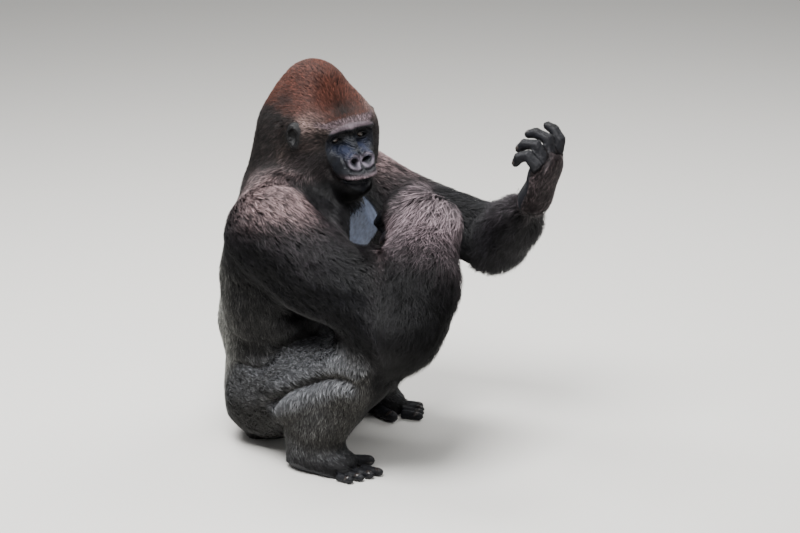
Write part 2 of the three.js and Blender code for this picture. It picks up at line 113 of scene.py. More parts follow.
def points_of(mesh):
    """The places of the points."""
    return taken(mesh.vertices, "co", 3)


def normals_of(mesh):
    """The way that the surface faces at each point."""
    return taken(mesh.vertex_normals, "vector", 3)


def edges_of(mesh):
    """The two points of each edge."""
    return taken(mesh.edges, "vertices", 2, np.int32)


def triangles_of(mesh):
    """The faces as triangles, three points each."""
    mesh.calc_loop_triangles()
    return taken(mesh.loop_triangles, "vertices", 3, np.int32)


def put_back(mesh, points):
    """Gives the points new places."""
    mesh.vertices.foreach_set("co", points.ravel())
    mesh.update()


def mesh_from(name, points, faces):
    """A mesh of faces that all have the same number of corners."""
    mesh = bpy.data.meshes.new(name)
    mesh.vertices.add(len(points))
    mesh.vertices.foreach_set("co", np.asarray(points, np.float32).ravel())
    mesh.loops.add(faces.size)
    mesh.loops.foreach_set("vertex_index", faces.ravel().astype(np.int32))
    mesh.polygons.add(len(faces))
    mesh.polygons.foreach_set("loop_start", np.arange(0, faces.size, faces.shape[1], dtype=np.int32))
    mesh.update(calc_edges=True)
    return mesh


def piece_from(name, mesh):
    """An object that shows the mesh, shaded smooth."""
    mesh.polygons.foreach_set("use_smooth", np.ones(len(mesh.polygons), bool))
    piece = bpy.data.objects.new(name, mesh)
    bpy.context.scene.collection.objects.link(piece)
    return piece

# %% Sums that come up often


def unit(v):
    """Each row of v, one long."""
    return v / np.maximum(np.linalg.norm(v, axis=-1, keepdims=True), 1e-12)


def dot(a, b):
    """The dot product of matching rows."""
    return (a * b).sum(-1)


def ramp(value, low, high):
    """0 below low, 1 above high, and a smooth slope between."""
    t = np.clip((value - low) / (high - low), 0, 1)
    return t * t * (3 - 2 * t)


def relaxed(values, edges, rounds, share=0.5, weight=1.0):
    """Moves each point's value towards the mean of its neighbours, that many times."""
    values = np.array(values, float)
    columns = values.reshape(len(values), -1)
    share = (np.zeros(len(values)) + share * weight)[:, None]
    count = np.bincount(edges.ravel(), minlength=len(values))[:, None]
    a, b = edges.T
    for _ in range(rounds):
        total = np.empty_like(columns)
        for c, column in enumerate(columns.T):
            total[:, c] = np.bincount(a, column[b], len(columns)) + np.bincount(b, column[a], len(columns))
        columns = columns + (total / np.maximum(count, 1) - columns) * share
    return columns.reshape(values.shape)

# %% [markdown]
# ## The camera and the studio
#
# The animal is seen from its right and a little in front, from somewhat above, by a long lens a good way
# off. A short lens close by would make the near arm look too big. The studio is a wide pale floor under
# four soft lights: a strong one high on the camera's side, one behind the back that draws its edge, a weak
# one before the face and one for the far side. A pale world fills the shadows.

# %% Set the camera
IMAGE_WIDTH = 800
CAMERA_TURN, CAMERA_RISE = 22, 17  # degrees: from straight at its right side towards its face, and upwards
CAMERA_DISTANCE = 9.0
VIEW_WIDTH = 2.08  # metres across the picture at the animal
AIM_RIGHT, AIM_UP = 0.0535, -0.0272  # from the middle of the animal to the middle of the picture
SENSOR = 36.0


def direction(turn, rise):
    """The way from the animal to a place with that turn and rise, in degrees."""
    a, e = math.radians(turn), math.radians(rise)
    return Vector((math.sin(a) * math.cos(e), -math.cos(a) * math.cos(e), math.sin(e)))


towards = direction(CAMERA_TURN, CAMERA_RISE)
view_right = direction(CAMERA_TURN + 90, 0)
view_up = towards.cross(view_right)
middle = (cad_box[0] + cad_box[1]) / 2
aim = middle + view_right * AIM_RIGHT + view_up * AIM_UP

camera = bpy.data.objects.new("camera", bpy.data.cameras.new("camera"))
bpy.context.scene.collection.objects.link(camera)
bpy.context.scene.camera = camera
camera.location = aim + towards * CAMERA_DISTANCE
camera.rotation_euler = towards.to_track_quat("Z", "Y").to_euler()
camera.data.sensor_width = SENSOR
camera.data.lens = SENSOR * CAMERA_DISTANCE / VIEW_WIDTH
print(f"Lens of {camera.data.lens:.0f} mm; one dot of the picture is {VIEW_WIDTH / IMAGE_WIDTH / MM:.1f} mm")

# %% [markdown]
# ## Colours and materials
#
# Colours are written as the hex values that a paint program shows. Blender works in linear light, so one
# function turns them. One more adds a node with its settings, so that each material reads as a list of what
# it does.

# %% Colours and nodes


def linear(code):
    """An sRGB hex colour as linear red, green and blue."""
    parts = np.array([int(code[i : i + 2], 16) for i in (1, 3, 5)]) / 255
    return np.where(parts <= 0.04045, parts / 12.92, ((parts + 0.055) / 1.055) ** 2.4)


def opaque(code):
    """The same, with an alpha of one, as a colour socket takes it."""
    return (*linear(code), 1.0)


def add(tree, kind, settings=None, **inputs):
    """Adds a node. An input is a value, or the socket of another node. _0, _1 and _2 are inputs by number."""
    made = tree.nodes.new("ShaderNode" + kind)
    for name, value in (settings or {}).items():
        setattr(made, name, value)
    for name, value in inputs.items():
        socket = made.inputs[int(name[1:]) if name[1:].isdigit() else name.replace("_", " ")]
        if isinstance(value, bpy.types.NodeSocket):
            tree.links.new(value, socket)
        else:
            socket.default_value = value
    return made


def material(name):
    """An empty material, and its node tree."""
    made = bpy.data.materials.new(name)
    made.use_nodes = True
    made.node_tree.nodes.clear()
    return made, made.node_tree


def finished(tree, shader):
    """Joins the shader to the material's output."""
    add(tree, "OutputMaterial", Surface=shader.outputs[0])

# %% Build the studio
FLOOR_RADIUS = 40.0
SOFTBOXES = {  # turn and rise in degrees, distance and size in metres, power in watts
    "key_light": (2, 60, 3.6, 1.8, 320),
    "back_light": (-110, 55, 3.6, 2.0, 150),
    "fill_light": (60, 25, 5.0, 4.0, 30),
    "far_light": (150, 45, 4.0, 2.6, 130),
}
SKY_COLOUR, SKY_STRENGTH = "#e9eaec", 0.36


def studio_floor():
    """A wide round floor of matt painted board."""
    bm = bmesh.new()
    bmesh.ops.create_circle(bm, cap_ends=True, segments=96, radius=FLOOR_RADIUS)
    mesh = bpy.data.meshes.new("floor")
    bm.to_mesh(mesh)
    bm.free()
    floor = piece_from("floor", mesh)
    floor.location = (middle.x, middle.y, 0)
    paint, tree = material("matt_floor_paint")
    finished(tree, add(tree, "BsdfPrincipled", Base_Color=opaque("#d9d7d2"), Roughness=0.9))
    mesh.materials.append(paint)


def softbox(name, turn, rise, distance, size, power):
    """A square area light that looks at the middle of the animal."""
    light = bpy.data.lights.new(name, "AREA")
    light.size = size
    light.energy = power
    back = direction(turn, rise)
    lamp = bpy.data.objects.new(name, light)
    bpy.context.scene.collection.objects.link(lamp)
    lamp.location = middle + back * distance
    lamp.rotation_euler = back.to_track_quat("Z", "Y").to_euler()


studio_floor()
for name, setting in SOFTBOXES.items():
    softbox(name, *setting)

sky = bpy.data.worlds.new("studio")
bpy.context.scene.world = sky
sky.use_nodes = True
background = sky.node_tree.nodes["Background"]
background.inputs["Color"].default_value = opaque(SKY_COLOUR)
background.inputs["Strength"].default_value = SKY_STRENGTH
print("Lights:", ", ".join(SOFTBOXES))

# %% [markdown]
# ## Reading the body from the solids
#
# Each solid ends at a thin cut, and the middle of a cut is where that joint is: the elbow is where the
# forearm's solid meets the upper arm's. The eyes and ears give the head a frame of its own, so that the
# face can be sculpted in plain terms: ahead, to its left, and up from the point between the eyes.

# %% The solids, their joints and the head's frame
FINGERS = ("thumb", "forefinger", "middle_finger", "ring_finger", "little_finger")
TOES = ("big_toe", "second_toe", "third_toe", "fourth_toe", "little_toe")
flesh_nodes = sorted(name for name in frame["nodes"] if not name.startswith("eye_"))


def region_of(node):
    """The kind of body part that a solid is, whichever side it is on."""
    part = node.removesuffix("_right").removesuffix("_left")
    if part in FINGERS:
        return "finger"
    return "toe" if part in TOES else part


def node_shape(name):
    """A solid's points, each once, and its triangles."""
    mesh = frame["nodes"][name].data
    points, places = np.unique(np.round(points_of(mesh), 6), axis=0, return_inverse=True)
    return points, places.ravel()[triangles_of(mesh)]


shapes = {name: node_shape(name) for name in flesh_nodes}
CUT_REACH = 4 * MM  # points of two solids nearer than this lie on the cut between them


def meeting(first, second):
    """The middle of the cut between two solids."""
    others = shapes[second][0]
    tree = KDTree(len(others))
    for i, point in enumerate(others):
        tree.insert(point, i)
    tree.balance()
    near = [point for point in shapes[first][0] if tree.find(point)[2] < CUT_REACH]
    return np.mean(near, axis=0)


shoulder = {side: meeting(f"upper_arm_{side}", "trunk") for side in SIDES}
elbow = {side: meeting(f"forearm_{side}", f"upper_arm_{side}") for side in SIDES}
wrist = {side: meeting(f"hand_{side}", f"forearm_{side}") for side in SIDES}
hip = {side: meeting(f"thigh_{side}", "trunk") for side in SIDES}
knee = {side: meeting(f"lower_leg_{side}", f"thigh_{side}") for side in SIDES}
ankle = {side: meeting(f"foot_{side}", f"lower_leg_{side}") for side in SIDES}


def middle_of(node):
    """The middle of a solid's box."""
    low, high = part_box(node)
    return np.array((low + high) / 2)


eyes = {side: middle_of(f"eye_{side}") for side in SIDES}
EYE_RADIUS = (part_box("eye_left")[1].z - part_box("eye_left")[0].z) / 2
between_eyes = (eyes["right"] + eyes["left"]) / 2
head_left = unit(eyes["left"] - eyes["right"])
head_ahead = between_eyes - (middle_of("ear_right") + middle_of("ear_left")) / 2
head_ahead = unit(head_ahead - head_left * (head_ahead @ head_left))
head_up = np.cross(head_ahead, head_left)
HEAD_AXES = np.stack([head_ahead, head_left, head_up])


def on_head(places):
    """Places in millimetres ahead, left and up from between the eyes, as points in the frame."""
    return between_eyes + np.asarray(places, float) * MM @ HEAD_AXES


def from_head(points):
    """The way back: points in the frame as millimetres ahead, left and up from between the eyes."""
    return (points - between_eyes) @ HEAD_AXES.T / MM


trunk_low, trunk_high = (np.array(corner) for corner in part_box("trunk"))
trunk_centre = (trunk_low + trunk_high) / 2


def on_trunk(back, left, up):
    """A place by shares of the trunk's box: 0 at its front, right and bottom, 1 at its back, left and top."""
    low_corner = np.array([trunk_high[0], trunk_low[1], trunk_low[2]])
    high_corner = np.array([trunk_low[0], trunk_high[1], trunk_high[2]])
    return low_corner + np.array([back, left, up]) * (high_corner - low_corner)


print("Eye radius", round(EYE_RADIUS / MM, 1), "mm")
print("Elbows at", elbow["right"].round(3), elbow["left"].round(3))

# %% [markdown]
# ## The line of each finger and toe
#
# A finger's solid is a tube of rings. Walking from its root along the edges of the mesh, one step at a
# time, takes in one ring after another, so the middles of those steps draw the line of the finger, knuckle
# by knuckle. Nails, creases and hair all need that line.

# %% Find the lines of the digits


def digit_line(node, limb):
    """The middles of a digit's rings, from the end nearest the limb's own solid to the tip."""
    points, triangles = shapes[node]
    home = shapes[limb][0].mean(axis=0)
    start = np.argmin(np.linalg.norm(points - home, axis=1))
    step = np.full(len(points), -1)
    step[start] = 0
    while (step < 0).any():
        reached = step[triangles].max(axis=1)
        for corner in range(3):
            fresh = (step[triangles[:, corner]] < 0) & (reached >= 0)
            step[triangles[fresh, corner]] = reached[fresh] + 1
    return np.array([points[step == s].mean(axis=0) for s in range(step.max() + 1)])


digit_lines = {}
for side in SIDES:
    for digit in FINGERS:
        digit_lines[f"{digit}_{side}"] = digit_line(f"{digit}_{side}", f"hand_{side}")
    for digit in TOES:
        digit_lines[f"{digit}_{side}"] = digit_line(f"{digit}_{side}", f"foot_{side}")
print("Steps along each digit:", {name: len(line) for name, line in digit_lines.items()})

# %% [markdown]
# ## One skin over the body
#
# The solids stop at cuts a millimetre wide. Boolean unions would keep every cut as a crease. So each is
# grown by a little less than that, so that they touch, and a remesh wraps them all in one surface of small
# even faces. Two balls, a little larger than the eyes, give the lids something to be made from. A second,
# coarser wrap leaves out ears, fingers and toes. Smoothed, it is the body without the solids' flat facets,
# and the fine wrap is drawn onto it everywhere but on those small parts and the face.

# %% Join and grow solids
CUT_CLOSING = 0.8 * MM


def joined(parts):
    """Pairs of points and faces, joined into one pair."""
    starts = np.cumsum([0] + [len(points) for points, _ in parts[:-1]])
    points = np.concatenate([points for points, _ in parts])
    return points, np.concatenate([faces + start for (_, faces), start in zip(parts, starts)])


def grown(node):
    """A solid, a little larger all round."""
    points, triangles = shapes[node]
    return points + normals_of(mesh_from(node, points, triangles)) * CUT_CLOSING, triangles


def ball(centre, radius, fineness=4):
    """A ball of even triangles."""
    bm = bmesh.new()
    bmesh.ops.create_icosphere(bm, subdivisions=fineness, radius=radius)
    mesh = bpy.data.meshes.new("ball")
    bm.to_mesh(mesh)
    bm.free()
    return points_of(mesh) + centre, triangles_of(mesh)

# %% Wrap a surface round them


def worked_out(mesh, kind, settings, weights=None):
    """The mesh after one modifier, which may act by a weight at each point."""
    piece = bpy.data.objects.new("work", mesh)
    bpy.context.scene.collection.objects.link(piece)
    change = piece.modifiers.new("change", kind)
    if weights is not None:
        group = piece.vertex_groups.new(name="weights")
        for weight in np.unique(weights):
            group.add(np.flatnonzero(weights == weight).tolist(), float(weight), "REPLACE")
        change.vertex_group = "weights"
    for name, value in settings.items():
        setattr(change, name, value)
    graph = bpy.context.evaluated_depsgraph_get()
    made = bpy.data.meshes.new_from_object(piece.evaluated_get(graph))
    bpy.data.objects.remove(piece)
    return made


def quads_of(mesh):
    """The faces of a mesh that is all quads, four points each."""
    return taken(mesh.loops, "vertex_index", 1, np.int32).reshape(-1, 4)


def wrapped(parts, step):
    """One surface of quads round all the parts, without the bubbles left inside."""
    mesh = worked_out(mesh_from("parts", *joined(parts)), "REMESH", {"mode": "VOXEL", "voxel_size": step})
    edges = edges_of(mesh)
    shell = np.arange(len(mesh.vertices))
    while (shell[edges[:, 0]] != shell[edges[:, 1]]).any():
        lowest = shell[edges].min(axis=1)
        np.minimum.at(shell, edges[:, 0], lowest)
        np.minimum.at(shell, edges[:, 1], lowest)
        shell = shell[shell]
    kept = shell == np.bincount(shell).argmax()
    quads = quads_of(mesh)
    quads = quads[kept[quads[:, 0]]]
    return mesh_from("skin", points_of(mesh)[kept], (np.cumsum(kept) - 1)[quads])

# %% Wrap the body twice, fine and coarse
SKIN_STEP = 5 * MM
SHELL_STEP = 10 * MM
LID_THICKNESS = 2.4 * MM
SMALL_PARTS = ("ear", "finger", "toe")

fine_parts = [grown(node) for node in flesh_nodes]
fine_parts += [ball(eyes[side], EYE_RADIUS + LID_THICKNESS) for side in SIDES]
skin = wrapped(fine_parts, SKIN_STEP)
shell_nodes = [node for node in flesh_nodes if region_of(node) not in SMALL_PARTS]
shell = wrapped([grown(node) for node in shell_nodes], SHELL_STEP)
print("Skin points", len(skin.vertices), "and shell points", len(shell.vertices))

# %% Know which part of the body each point belongs to


def nearest_node(points):
    """The number, in flesh_nodes, of the solid nearest to each point."""
    all_points, all_triangles = joined([shapes[node] for node in flesh_nodes])
    owner = np.repeat(np.arange(len(flesh_nodes)), [len(shapes[node][1]) for node in flesh_nodes])
    tree = BVHTree.FromPolygons(all_points.tolist(), all_triangles.tolist())
    return owner[[tree.find_nearest(point)[2] for point in points]]


def nearest_of(points, targets):
    """For each point, the number of the nearest target."""
    tree = KDTree(len(targets))
    for i, target in enumerate(targets):
        tree.insert(target, i)
    tree.balance()
    return np.array([tree.find(point)[1] for point in points])


node_regions = np.array([region_of(node) for node in flesh_nodes])
skin_node = nearest_node(points_of(skin))
skin_region = node_regions[skin_node]
shell_node = nearest_node(points_of(shell))
print("Skin points nearest to the face:", (skin_region == "face").sum())

# %% Smooth away the facets
SHELL_ROUNDS = 60  # each takes facets out, and the swelling step after it gives the volume back
SHRINK, SWELL = 0.5, -0.52
EASING_ROUNDS = 6

shell_edges = edges_of(shell)
shell_points = points_of(shell)
for _ in range(SHELL_ROUNDS):
    shell_points = relaxed(shell_points, shell_edges, 1, SHRINK)
    shell_points = relaxed(shell_points, shell_edges, 1, SWELL)
put_back(shell, shell_points)

skin_edges = edges_of(skin)
broad = relaxed(~np.isin(skin_region, SMALL_PARTS + ("face",)), skin_edges, EASING_ROUNDS)
target = bpy.data.objects.new("shell", shell)
bpy.context.scene.collection.objects.link(target)
skin = worked_out(skin, "SHRINKWRAP", {"target": target}, broad.round(2))
bpy.data.objects.remove(target)


def eased(points, edges, rounds, weight=1.0):
    """Smoothed without shrinking, each round by a step in and a step out."""
    for _ in range(rounds):
        points = relaxed(points, edges, 1, SHRINK, weight)
        points = relaxed(points, edges, 1, SWELL, weight)
    return points


put_back(skin, eased(points_of(skin), skin_edges, EASING_ROUNDS))
print("Points drawn onto the smooth shell:", (broad > 0.5).sum())

# %% [markdown]
# ## Finer mesh where there is more to see
#
# Five millimetres between points is enough under the coat. The face needs folds a millimetre wide, and the
# bare hands and feet need knuckles, so their faces are cut in four: once on hands, feet and ears, and twice
# on the face.

# %% Cut the bare parts finer
DIGIT_EASING = 25


def refined(mesh, chosen):
    """The mesh with the edges between chosen points halved, and the old point nearest to each new one."""
    bm = bmesh.new()
    bm.from_mesh(mesh)
    bm.edges.ensure_lookup_table()
    picked = np.flatnonzero(chosen[edges_of(mesh)].all(axis=1))
    bmesh.ops.subdivide_edges(bm, edges=[bm.edges[i] for i in picked], cuts=1, use_grid_fill=True)
    made = bpy.data.meshes.new("skin")
    bm.to_mesh(made)
    bm.free()
    old_points, new_points = points_of(mesh), points_of(made)
    kept = np.arange(len(old_points))
    return made, np.concatenate([kept, nearest_of(new_points[len(kept) :], old_points)])


def in_face_box(points, low, high):
    """True for points of the head inside a box of places ahead, left and up from between the eyes."""
    places = from_head(points)
    return ((places > low) & (places < high)).all(axis=1)


FACE_BOX = (-45, -80, -150), (130, 80, 62)
FEATURE_BOX = (-25, -68, -112), (130, 68, 34)
for low_corner, high_corner, parts in (
    (*FACE_BOX, ("ear", "hand", "finger", "foot", "toe")),
    (*FEATURE_BOX, ()),
):
    chosen = in_face_box(points_of(skin), low_corner, high_corner) & ~np.isin(skin_region, ("hand", "finger"))
    chosen |= np.isin(skin_region, parts)
    skin, source = refined(skin, chosen)
    skin_node, skin_region = skin_node[source], skin_region[source]
    skin_edges = edges_of(skin)
    fresh = np.arange(len(source)) >= len(chosen)
    put_back(skin, eased(points_of(skin), skin_edges, 2, relaxed(fresh | chosen[source], skin_edges, 1)))
digits = relaxed(np.isin(skin_region, ("finger", "toe")), skin_edges, 2)
put_back(skin, eased(points_of(skin), skin_edges, DIGIT_EASING, digits))
print("Skin points after cutting finer:", len(skin.vertices))

# %% [markdown]
# ## How thick the coat is
#
# The solids reach to the tips of the hair, so the skin itself lies deeper: by two centimetres on the shaggy
# forearms, by less on the back, and not at all on the face, palms and soles. The table gives each part of
# the body its coat: how deep it stands, how long and wide a lock is, how many grow on a square centimetre,
# and how much they curl. Real hairs are far finer. Each lock stands for a few dozen that cling together.

# %% The coat of each part
Coat = namedtuple("Coat", "depth length width density curl")
COATS = {
    "face": Coat(2, 10, 1.1, 26, 0.2),
    "head": Coat(9, 22, 1.4, 17, 0.22),
    "ear": Coat(0, 7, 1.0, 8, 0.2),
    "neck": Coat(13, 28, 1.6, 11, 0.28),
    "trunk": Coat(11, 27, 1.7, 8.6, 0.28),
    "upper_arm": Coat(13, 31, 1.7, 8.6, 0.33),
    "forearm": Coat(18, 56, 1.6, 10, 0.36),
    "hand": Coat(7, 20, 1.5, 15, 0.35),
    "finger": Coat(0.6, 9, 1.2, 8, 0.2),
    "thigh": Coat(10, 19, 1.4, 11, 0.24),
    "lower_leg": Coat(10, 19, 1.5, 11, 0.26),
    "foot": Coat(4, 18, 1.6, 12, 0.3),
    "toe": Coat(0.4, 6, 1.2, 6, 0.2),
}


def coat_values(field, regions):
    """One column of the table, for a list of regions."""
    return np.array([getattr(COATS[region], field) for region in regions], float)

# %% Blend the table from part to part
BLEND_ROUNDS = 30

shell_share = np.stack([shell_node == flesh_nodes.index(node) for node in shell_nodes], axis=1)
shell_share = relaxed(shell_share.astype(float), shell_edges, BLEND_ROUNDS)
near_shell = nearest_of(points_of(skin), points_of(shell))
share = shell_share[near_shell]
small = np.isin(skin_region, SMALL_PARTS)
shell_regions = [region_of(node) for node in shell_nodes]


def share_of(*regions):
    """How much each point of the skin belongs to the regions."""
    return share[:, [region in regions for region in shell_regions]].sum(axis=1)


def blended(field):
    """One column of the coat table at every point of the skin, blended from part to part."""
    values = share @ coat_values(field, shell_regions)
    values[small] = coat_values(field, skin_region[small])
    return relaxed(values, skin_edges, 6)

# %% Leave the face bare, and cut the hair short round the ears
BARE_UP = (-128, -112, -100, -90, -66, -44, -19, 6, 28, 38, 43)
BARE_HALF_WIDTH = (0, 30, 44, 50, 63, 71, 74, 73, 66, 54, 0)


def hair_on_head(points):
    """1 where the head has hair and 0 on the bare face, which ends at the brow, cheeks and chin."""
    ahead, left, up = from_head(points).T
    half_width = np.interp(up, BARE_UP, BARE_HALF_WIDTH)
    hair = ramp(np.abs(left) - half_width, -6, 7)
    return np.where((ahead < -48) | (up > BARE_UP[-1]), 1, hair)


points = points_of(skin)
normals = normals_of(skin)
hairy = np.ones(len(points))
headed = np.isin(skin_region, ("face", "head"))
hairy[headed] = hair_on_head(points[headed])

EAR_HAIR = 0.1
EAR_REACH = 55 * MM  # the hair round an ear is short, so that the ear stands clear of it
BESIDE_EAR = 0.25
hairy[skin_region == "ear"] = EAR_HAIR
for side in SIDES:
    ear_middle = points[skin_node == flesh_nodes.index(f"ear_{side}")].mean(axis=0)
    clear = ramp(np.linalg.norm(points - ear_middle, axis=1), EAR_REACH * 0.6, EAR_REACH)
    hairy *= BESIDE_EAR + (1 - BESIDE_EAR) * clear

# %% Leave the breast, palms and soles bare
TURN = {"right": -1, "left": 1}  # the way out from the body's middle, along the frame's second axis
CHEST_RADIUS = 112 * MM
CHEST_BARENESS = 0.96
breast = (shoulder["right"] + shoulder["left"]) / 2 + np.array([76, -6, 0]) * MM
bare_chest = 1 - ramp(np.linalg.norm(points - breast, axis=1), CHEST_RADIUS * 0.75, CHEST_RADIUS * 1.15)
bare_chest *= share_of("trunk", "neck") * ramp(points[:, 0] - breast[0], -0.07, -0.04)
hairy *= 1 - CHEST_BARENESS * bare_chest

DIGIT_HAIR = 0.25
for side in SIDES:
    knuckles = digit_lines[f"middle_finger_{side}"][0]
    across = digit_lines[f"little_finger_{side}"][0] - digit_lines[f"forefinger_{side}"][0]
    back_of_hand = unit(np.cross(knuckles - wrist[side], across)) * TURN[side]
    own = skin_node == flesh_nodes.index(f"hand_{side}")
    hairy[own] *= ramp(normals[own] @ back_of_hand, -0.6, 0.15)
soles = np.isin(skin_region, ("foot", "toe"))
hairy[soles] *= ramp(normals[soles, 2], -0.4, 0.0)
hairy[np.isin(skin_region, ("finger", "toe"))] *= DIGIT_HAIR
hairy = relaxed(hairy, skin_edges, 4)

# %% Work out how deep the skin lies
FLOOR_MARGIN = 14 * MM
FLOOR_DEPTH = 1.5  # millimetres of coat left where the body sits on the floor

depth = blended("depth") * hairy
low = 1 - ramp(points[:, 2], 2 * MM, FLOOR_MARGIN)
depth = depth * (1 - low) + np.minimum(depth, FLOOR_DEPTH) * low
print("Coat depth from", depth.min().round(1), "to", depth.max().round(1), "mm")

# %% Lay the skin that deep
INSET_STEPS = 4
LEAST_DEPTH = 1  # millimetres; a thinner coat leaves the skin where it is
BREAST_EASING = 25  # rounds that take the solids' edges out of the bare breast

for _ in range(INSET_STEPS):
    moved = relaxed(points_of(skin) - normals_of(skin) * (depth * MM / INSET_STEPS)[:, None], skin_edges, 1)
    put_back(skin, np.where(depth[:, None] < LEAST_DEPTH, points_of(skin), moved))

in_breast = 1 - ramp(np.linalg.norm(points_of(skin) - breast, axis=1), CHEST_RADIUS, CHEST_RADIUS * 1.5)
put_back(skin, eased(points_of(skin), skin_edges, BREAST_EASING, in_breast * share_of("trunk", "neck")))
print("The skin now reaches up to", points_of(skin)[:, 2].max().round(3), "m")

# %% [markdown]
# ## Sculpting
#
# A modeller's tool raises a ridge or presses a groove along a line. Here a stroke does the same: every
# point near its line moves out or in along its own normal, most on the line and less to each side. The
# lines of the face are given as they look from in front, to the left and up from between the eyes, in
# millimetres, and are cast onto the skin. Lines of the left side are mirrored for the right.

# %% The tools
CURVE_STEPS = 5


def curved(corners):
    """A smooth line through the corners."""
    corners = np.asarray(corners, float)
    padded = np.concatenate([2 * corners[:1] - corners[1:2], corners, 2 * corners[-1:] - corners[-2:-1]])
    made = []
    for a, b, c, d in zip(padded[:-3], padded[1:-2], padded[2:-1], padded[3:]):
        for t in np.arange(CURVE_STEPS) / CURVE_STEPS:
            bend = (2 * a - 5 * b + 4 * c - d) * t**2 + (3 * b - a - 3 * c + d) * t**3
            made.append(b + ((c - a) * t + bend) / 2)
    return np.array(made + [corners[-1]])


def distance_to(points, line):
    """How far each point is from a line of straight pieces."""
    nearest = np.full(len(points), np.inf)
    for start, end in zip(line[:-1], line[1:]):
        along = np.clip((points - start) @ (end - start) / max((end - start) @ (end - start), 1e-12), 0, 1)
        nearest = np.minimum(nearest, np.linalg.norm(points - start - along[:, None] * (end - start), axis=1))
    return nearest


def sculpted(mesh, chosen, strokes):
    """Moves the chosen points by all the strokes: each a line, a half width and a height, in metres."""
    points, normals = points_of(mesh), normals_of(mesh)
    own = points[chosen]
    out = np.zeros(len(own))
    for line, width, rise in strokes:
        out += rise * np.maximum(1 - (distance_to(own, line) / width) ** 2, 0) ** 2
    points[chosen] = own + normals[chosen] * out[:, None]
    put_back(mesh, points)


def tree_of(mesh, chosen):
    """A search tree of the triangles whose corners are all chosen."""
    triangles = triangles_of(mesh)
    triangles = triangles[chosen[triangles].all(axis=1)]
    used, corners = np.unique(triangles, return_inverse=True)
    return BVHTree.FromPolygons(points_of(mesh)[used].tolist(), corners.reshape(-1, 3).tolist())


def cast_on_face(tree, line):
    """A line given by places left and up, as seen from in front, laid on the face."""
    laid = []
    for left, up in curved(line):
        found = tree.ray_cast(Vector(on_head([200, left, up])), Vector(-head_ahead))[0]
        if found is not None:
            laid.append(np.array(found))
    return np.array(laid)


def mirrored(strokes):
    """Strokes for both sides of the face."""
    return strokes + [([(-left, up) for left, up in line], width, rise) for line, width, rise in strokes]


def sculpt_face(strokes):
    """Lays the strokes on the face, widths and heights in millimetres, and sculpts them."""
    chosen = in_face_box(points_of(skin), *FACE_BOX)
    tree = tree_of(skin, chosen)
    laid = [(cast_on_face(tree, line), width * MM, rise * MM) for line, width, rise in strokes]
    sculpted(skin, chosen, [stroke for stroke in laid if len(stroke[0]) > 1])

# %% [markdown]
# ## The face
#
# The brow overhangs. Below it the eyes sit deep, with a heavy upper lid and folds that circle under the
# lower one. The nose has two padded rims, each like a horseshoe round its nostril, parted by a groove, and
# the bridge above is wrinkled across. The upper lip is long and its edge is creased. First come the large
# forms, then the nostrils and lids, and the wrinkles last.

# %% Large forms of the face
sculpt_face(
    mirrored(
        [
            ([(4, 11), (22, 13), (42, 13), (60, 6)], 11, -6),  # hollow under the brow
            ([(0, 29), (20, 32), (42, 34), (62, 26)], 13, 4),  # crest of the brow
            ([(10, -16), (22, -22), (38, -25), (54, -19)], 9, -2.5),  # under the bag of the eye
            ([(50, -34), (60, -50), (62, -70), (56, -92)], 11, -3),  # from nose to corner of the mouth
            ([(6, -12), (20, -11), (36, -17), (46, -32), (44, -50)], 7, -5),  # above the wing of the nose
            ([(34, -62), (18, -64), (6, -62)], 6, -3),  # under the nostril
            ([(7, -27), (18, -22), (32, -28), (37, -42), (30, -54), (12, -57)], 8, 5),  # rim of the nostril
            ([(16, -22), (28, -26)], 9, 3),  # pad above the nostril
            ([(0, -76), (20, -78), (42, -82)], 9, 4),  # edge of the upper lip
            ([(0, -98), (20, -98), (38, -95)], 7, 3),  # edge of the lower lip
            ([(14, -109), (30, -107)], 8, -2),  # under the lower lip
        ]
    )
)

# %% Nostrils, eyelids and mouth
EYE_SPREAD = float(np.linalg.norm(eyes["left"] - eyes["right"]) / 2 / MM)
LID_HALF_WIDTH = 15.5
UPPER_LID, LOWER_LID = 6.6, 5.6
LID_SLANT = 1.5  # the outer corner lies lower
LID_FOLD = 1.8  # how far the edge of the opening takes to fold back
OPENING_DEPTH = 4  # how far behind the eyes' middle the skin over them is pressed
NOSTRIL = (16, -42)
NOSTRIL_RADII = (12.5, 8)
NOSTRIL_SLANT = 0.35  # the inner end lies lower
NOSTRIL_DEPTH = 16


def open_nostrils_and_eyes():
    """Presses the nostrils in, and opens the skin over the front of each eye."""
    points = points_of(skin)
    chosen = np.flatnonzero(in_face_box(points, *FEATURE_BOX))
    places = from_head(points[chosen])
    ahead, left, up = places.T
    aside = np.abs(left) - NOSTRIL[0]
    wide = aside / NOSTRIL_RADII[0]
    high = (up - NOSTRIL[1] - NOSTRIL_SLANT * aside) / NOSTRIL_RADII[1]
    hole = (1 - ramp(np.sqrt(wide**2 + high**2), 0.55, 1.1)) * (ahead > 30)
    ahead -= NOSTRIL_DEPTH * hole

    across = (np.abs(left) - EYE_SPREAD) / LID_HALF_WIDTH
    arch = np.maximum(1 - across**2, 0)
    above = UPPER_LID * arch**0.8 - LID_SLANT * across - up
    below = up + LOWER_LID * arch + LID_SLANT * across
    opening = ramp(np.minimum(above, below), 0.0, LID_FOLD) * (np.abs(across) < 1) * (ahead > -10)
    ahead -= (ahead + OPENING_DEPTH) * opening
    points[chosen] = on_head(places)
    put_back(skin, points)


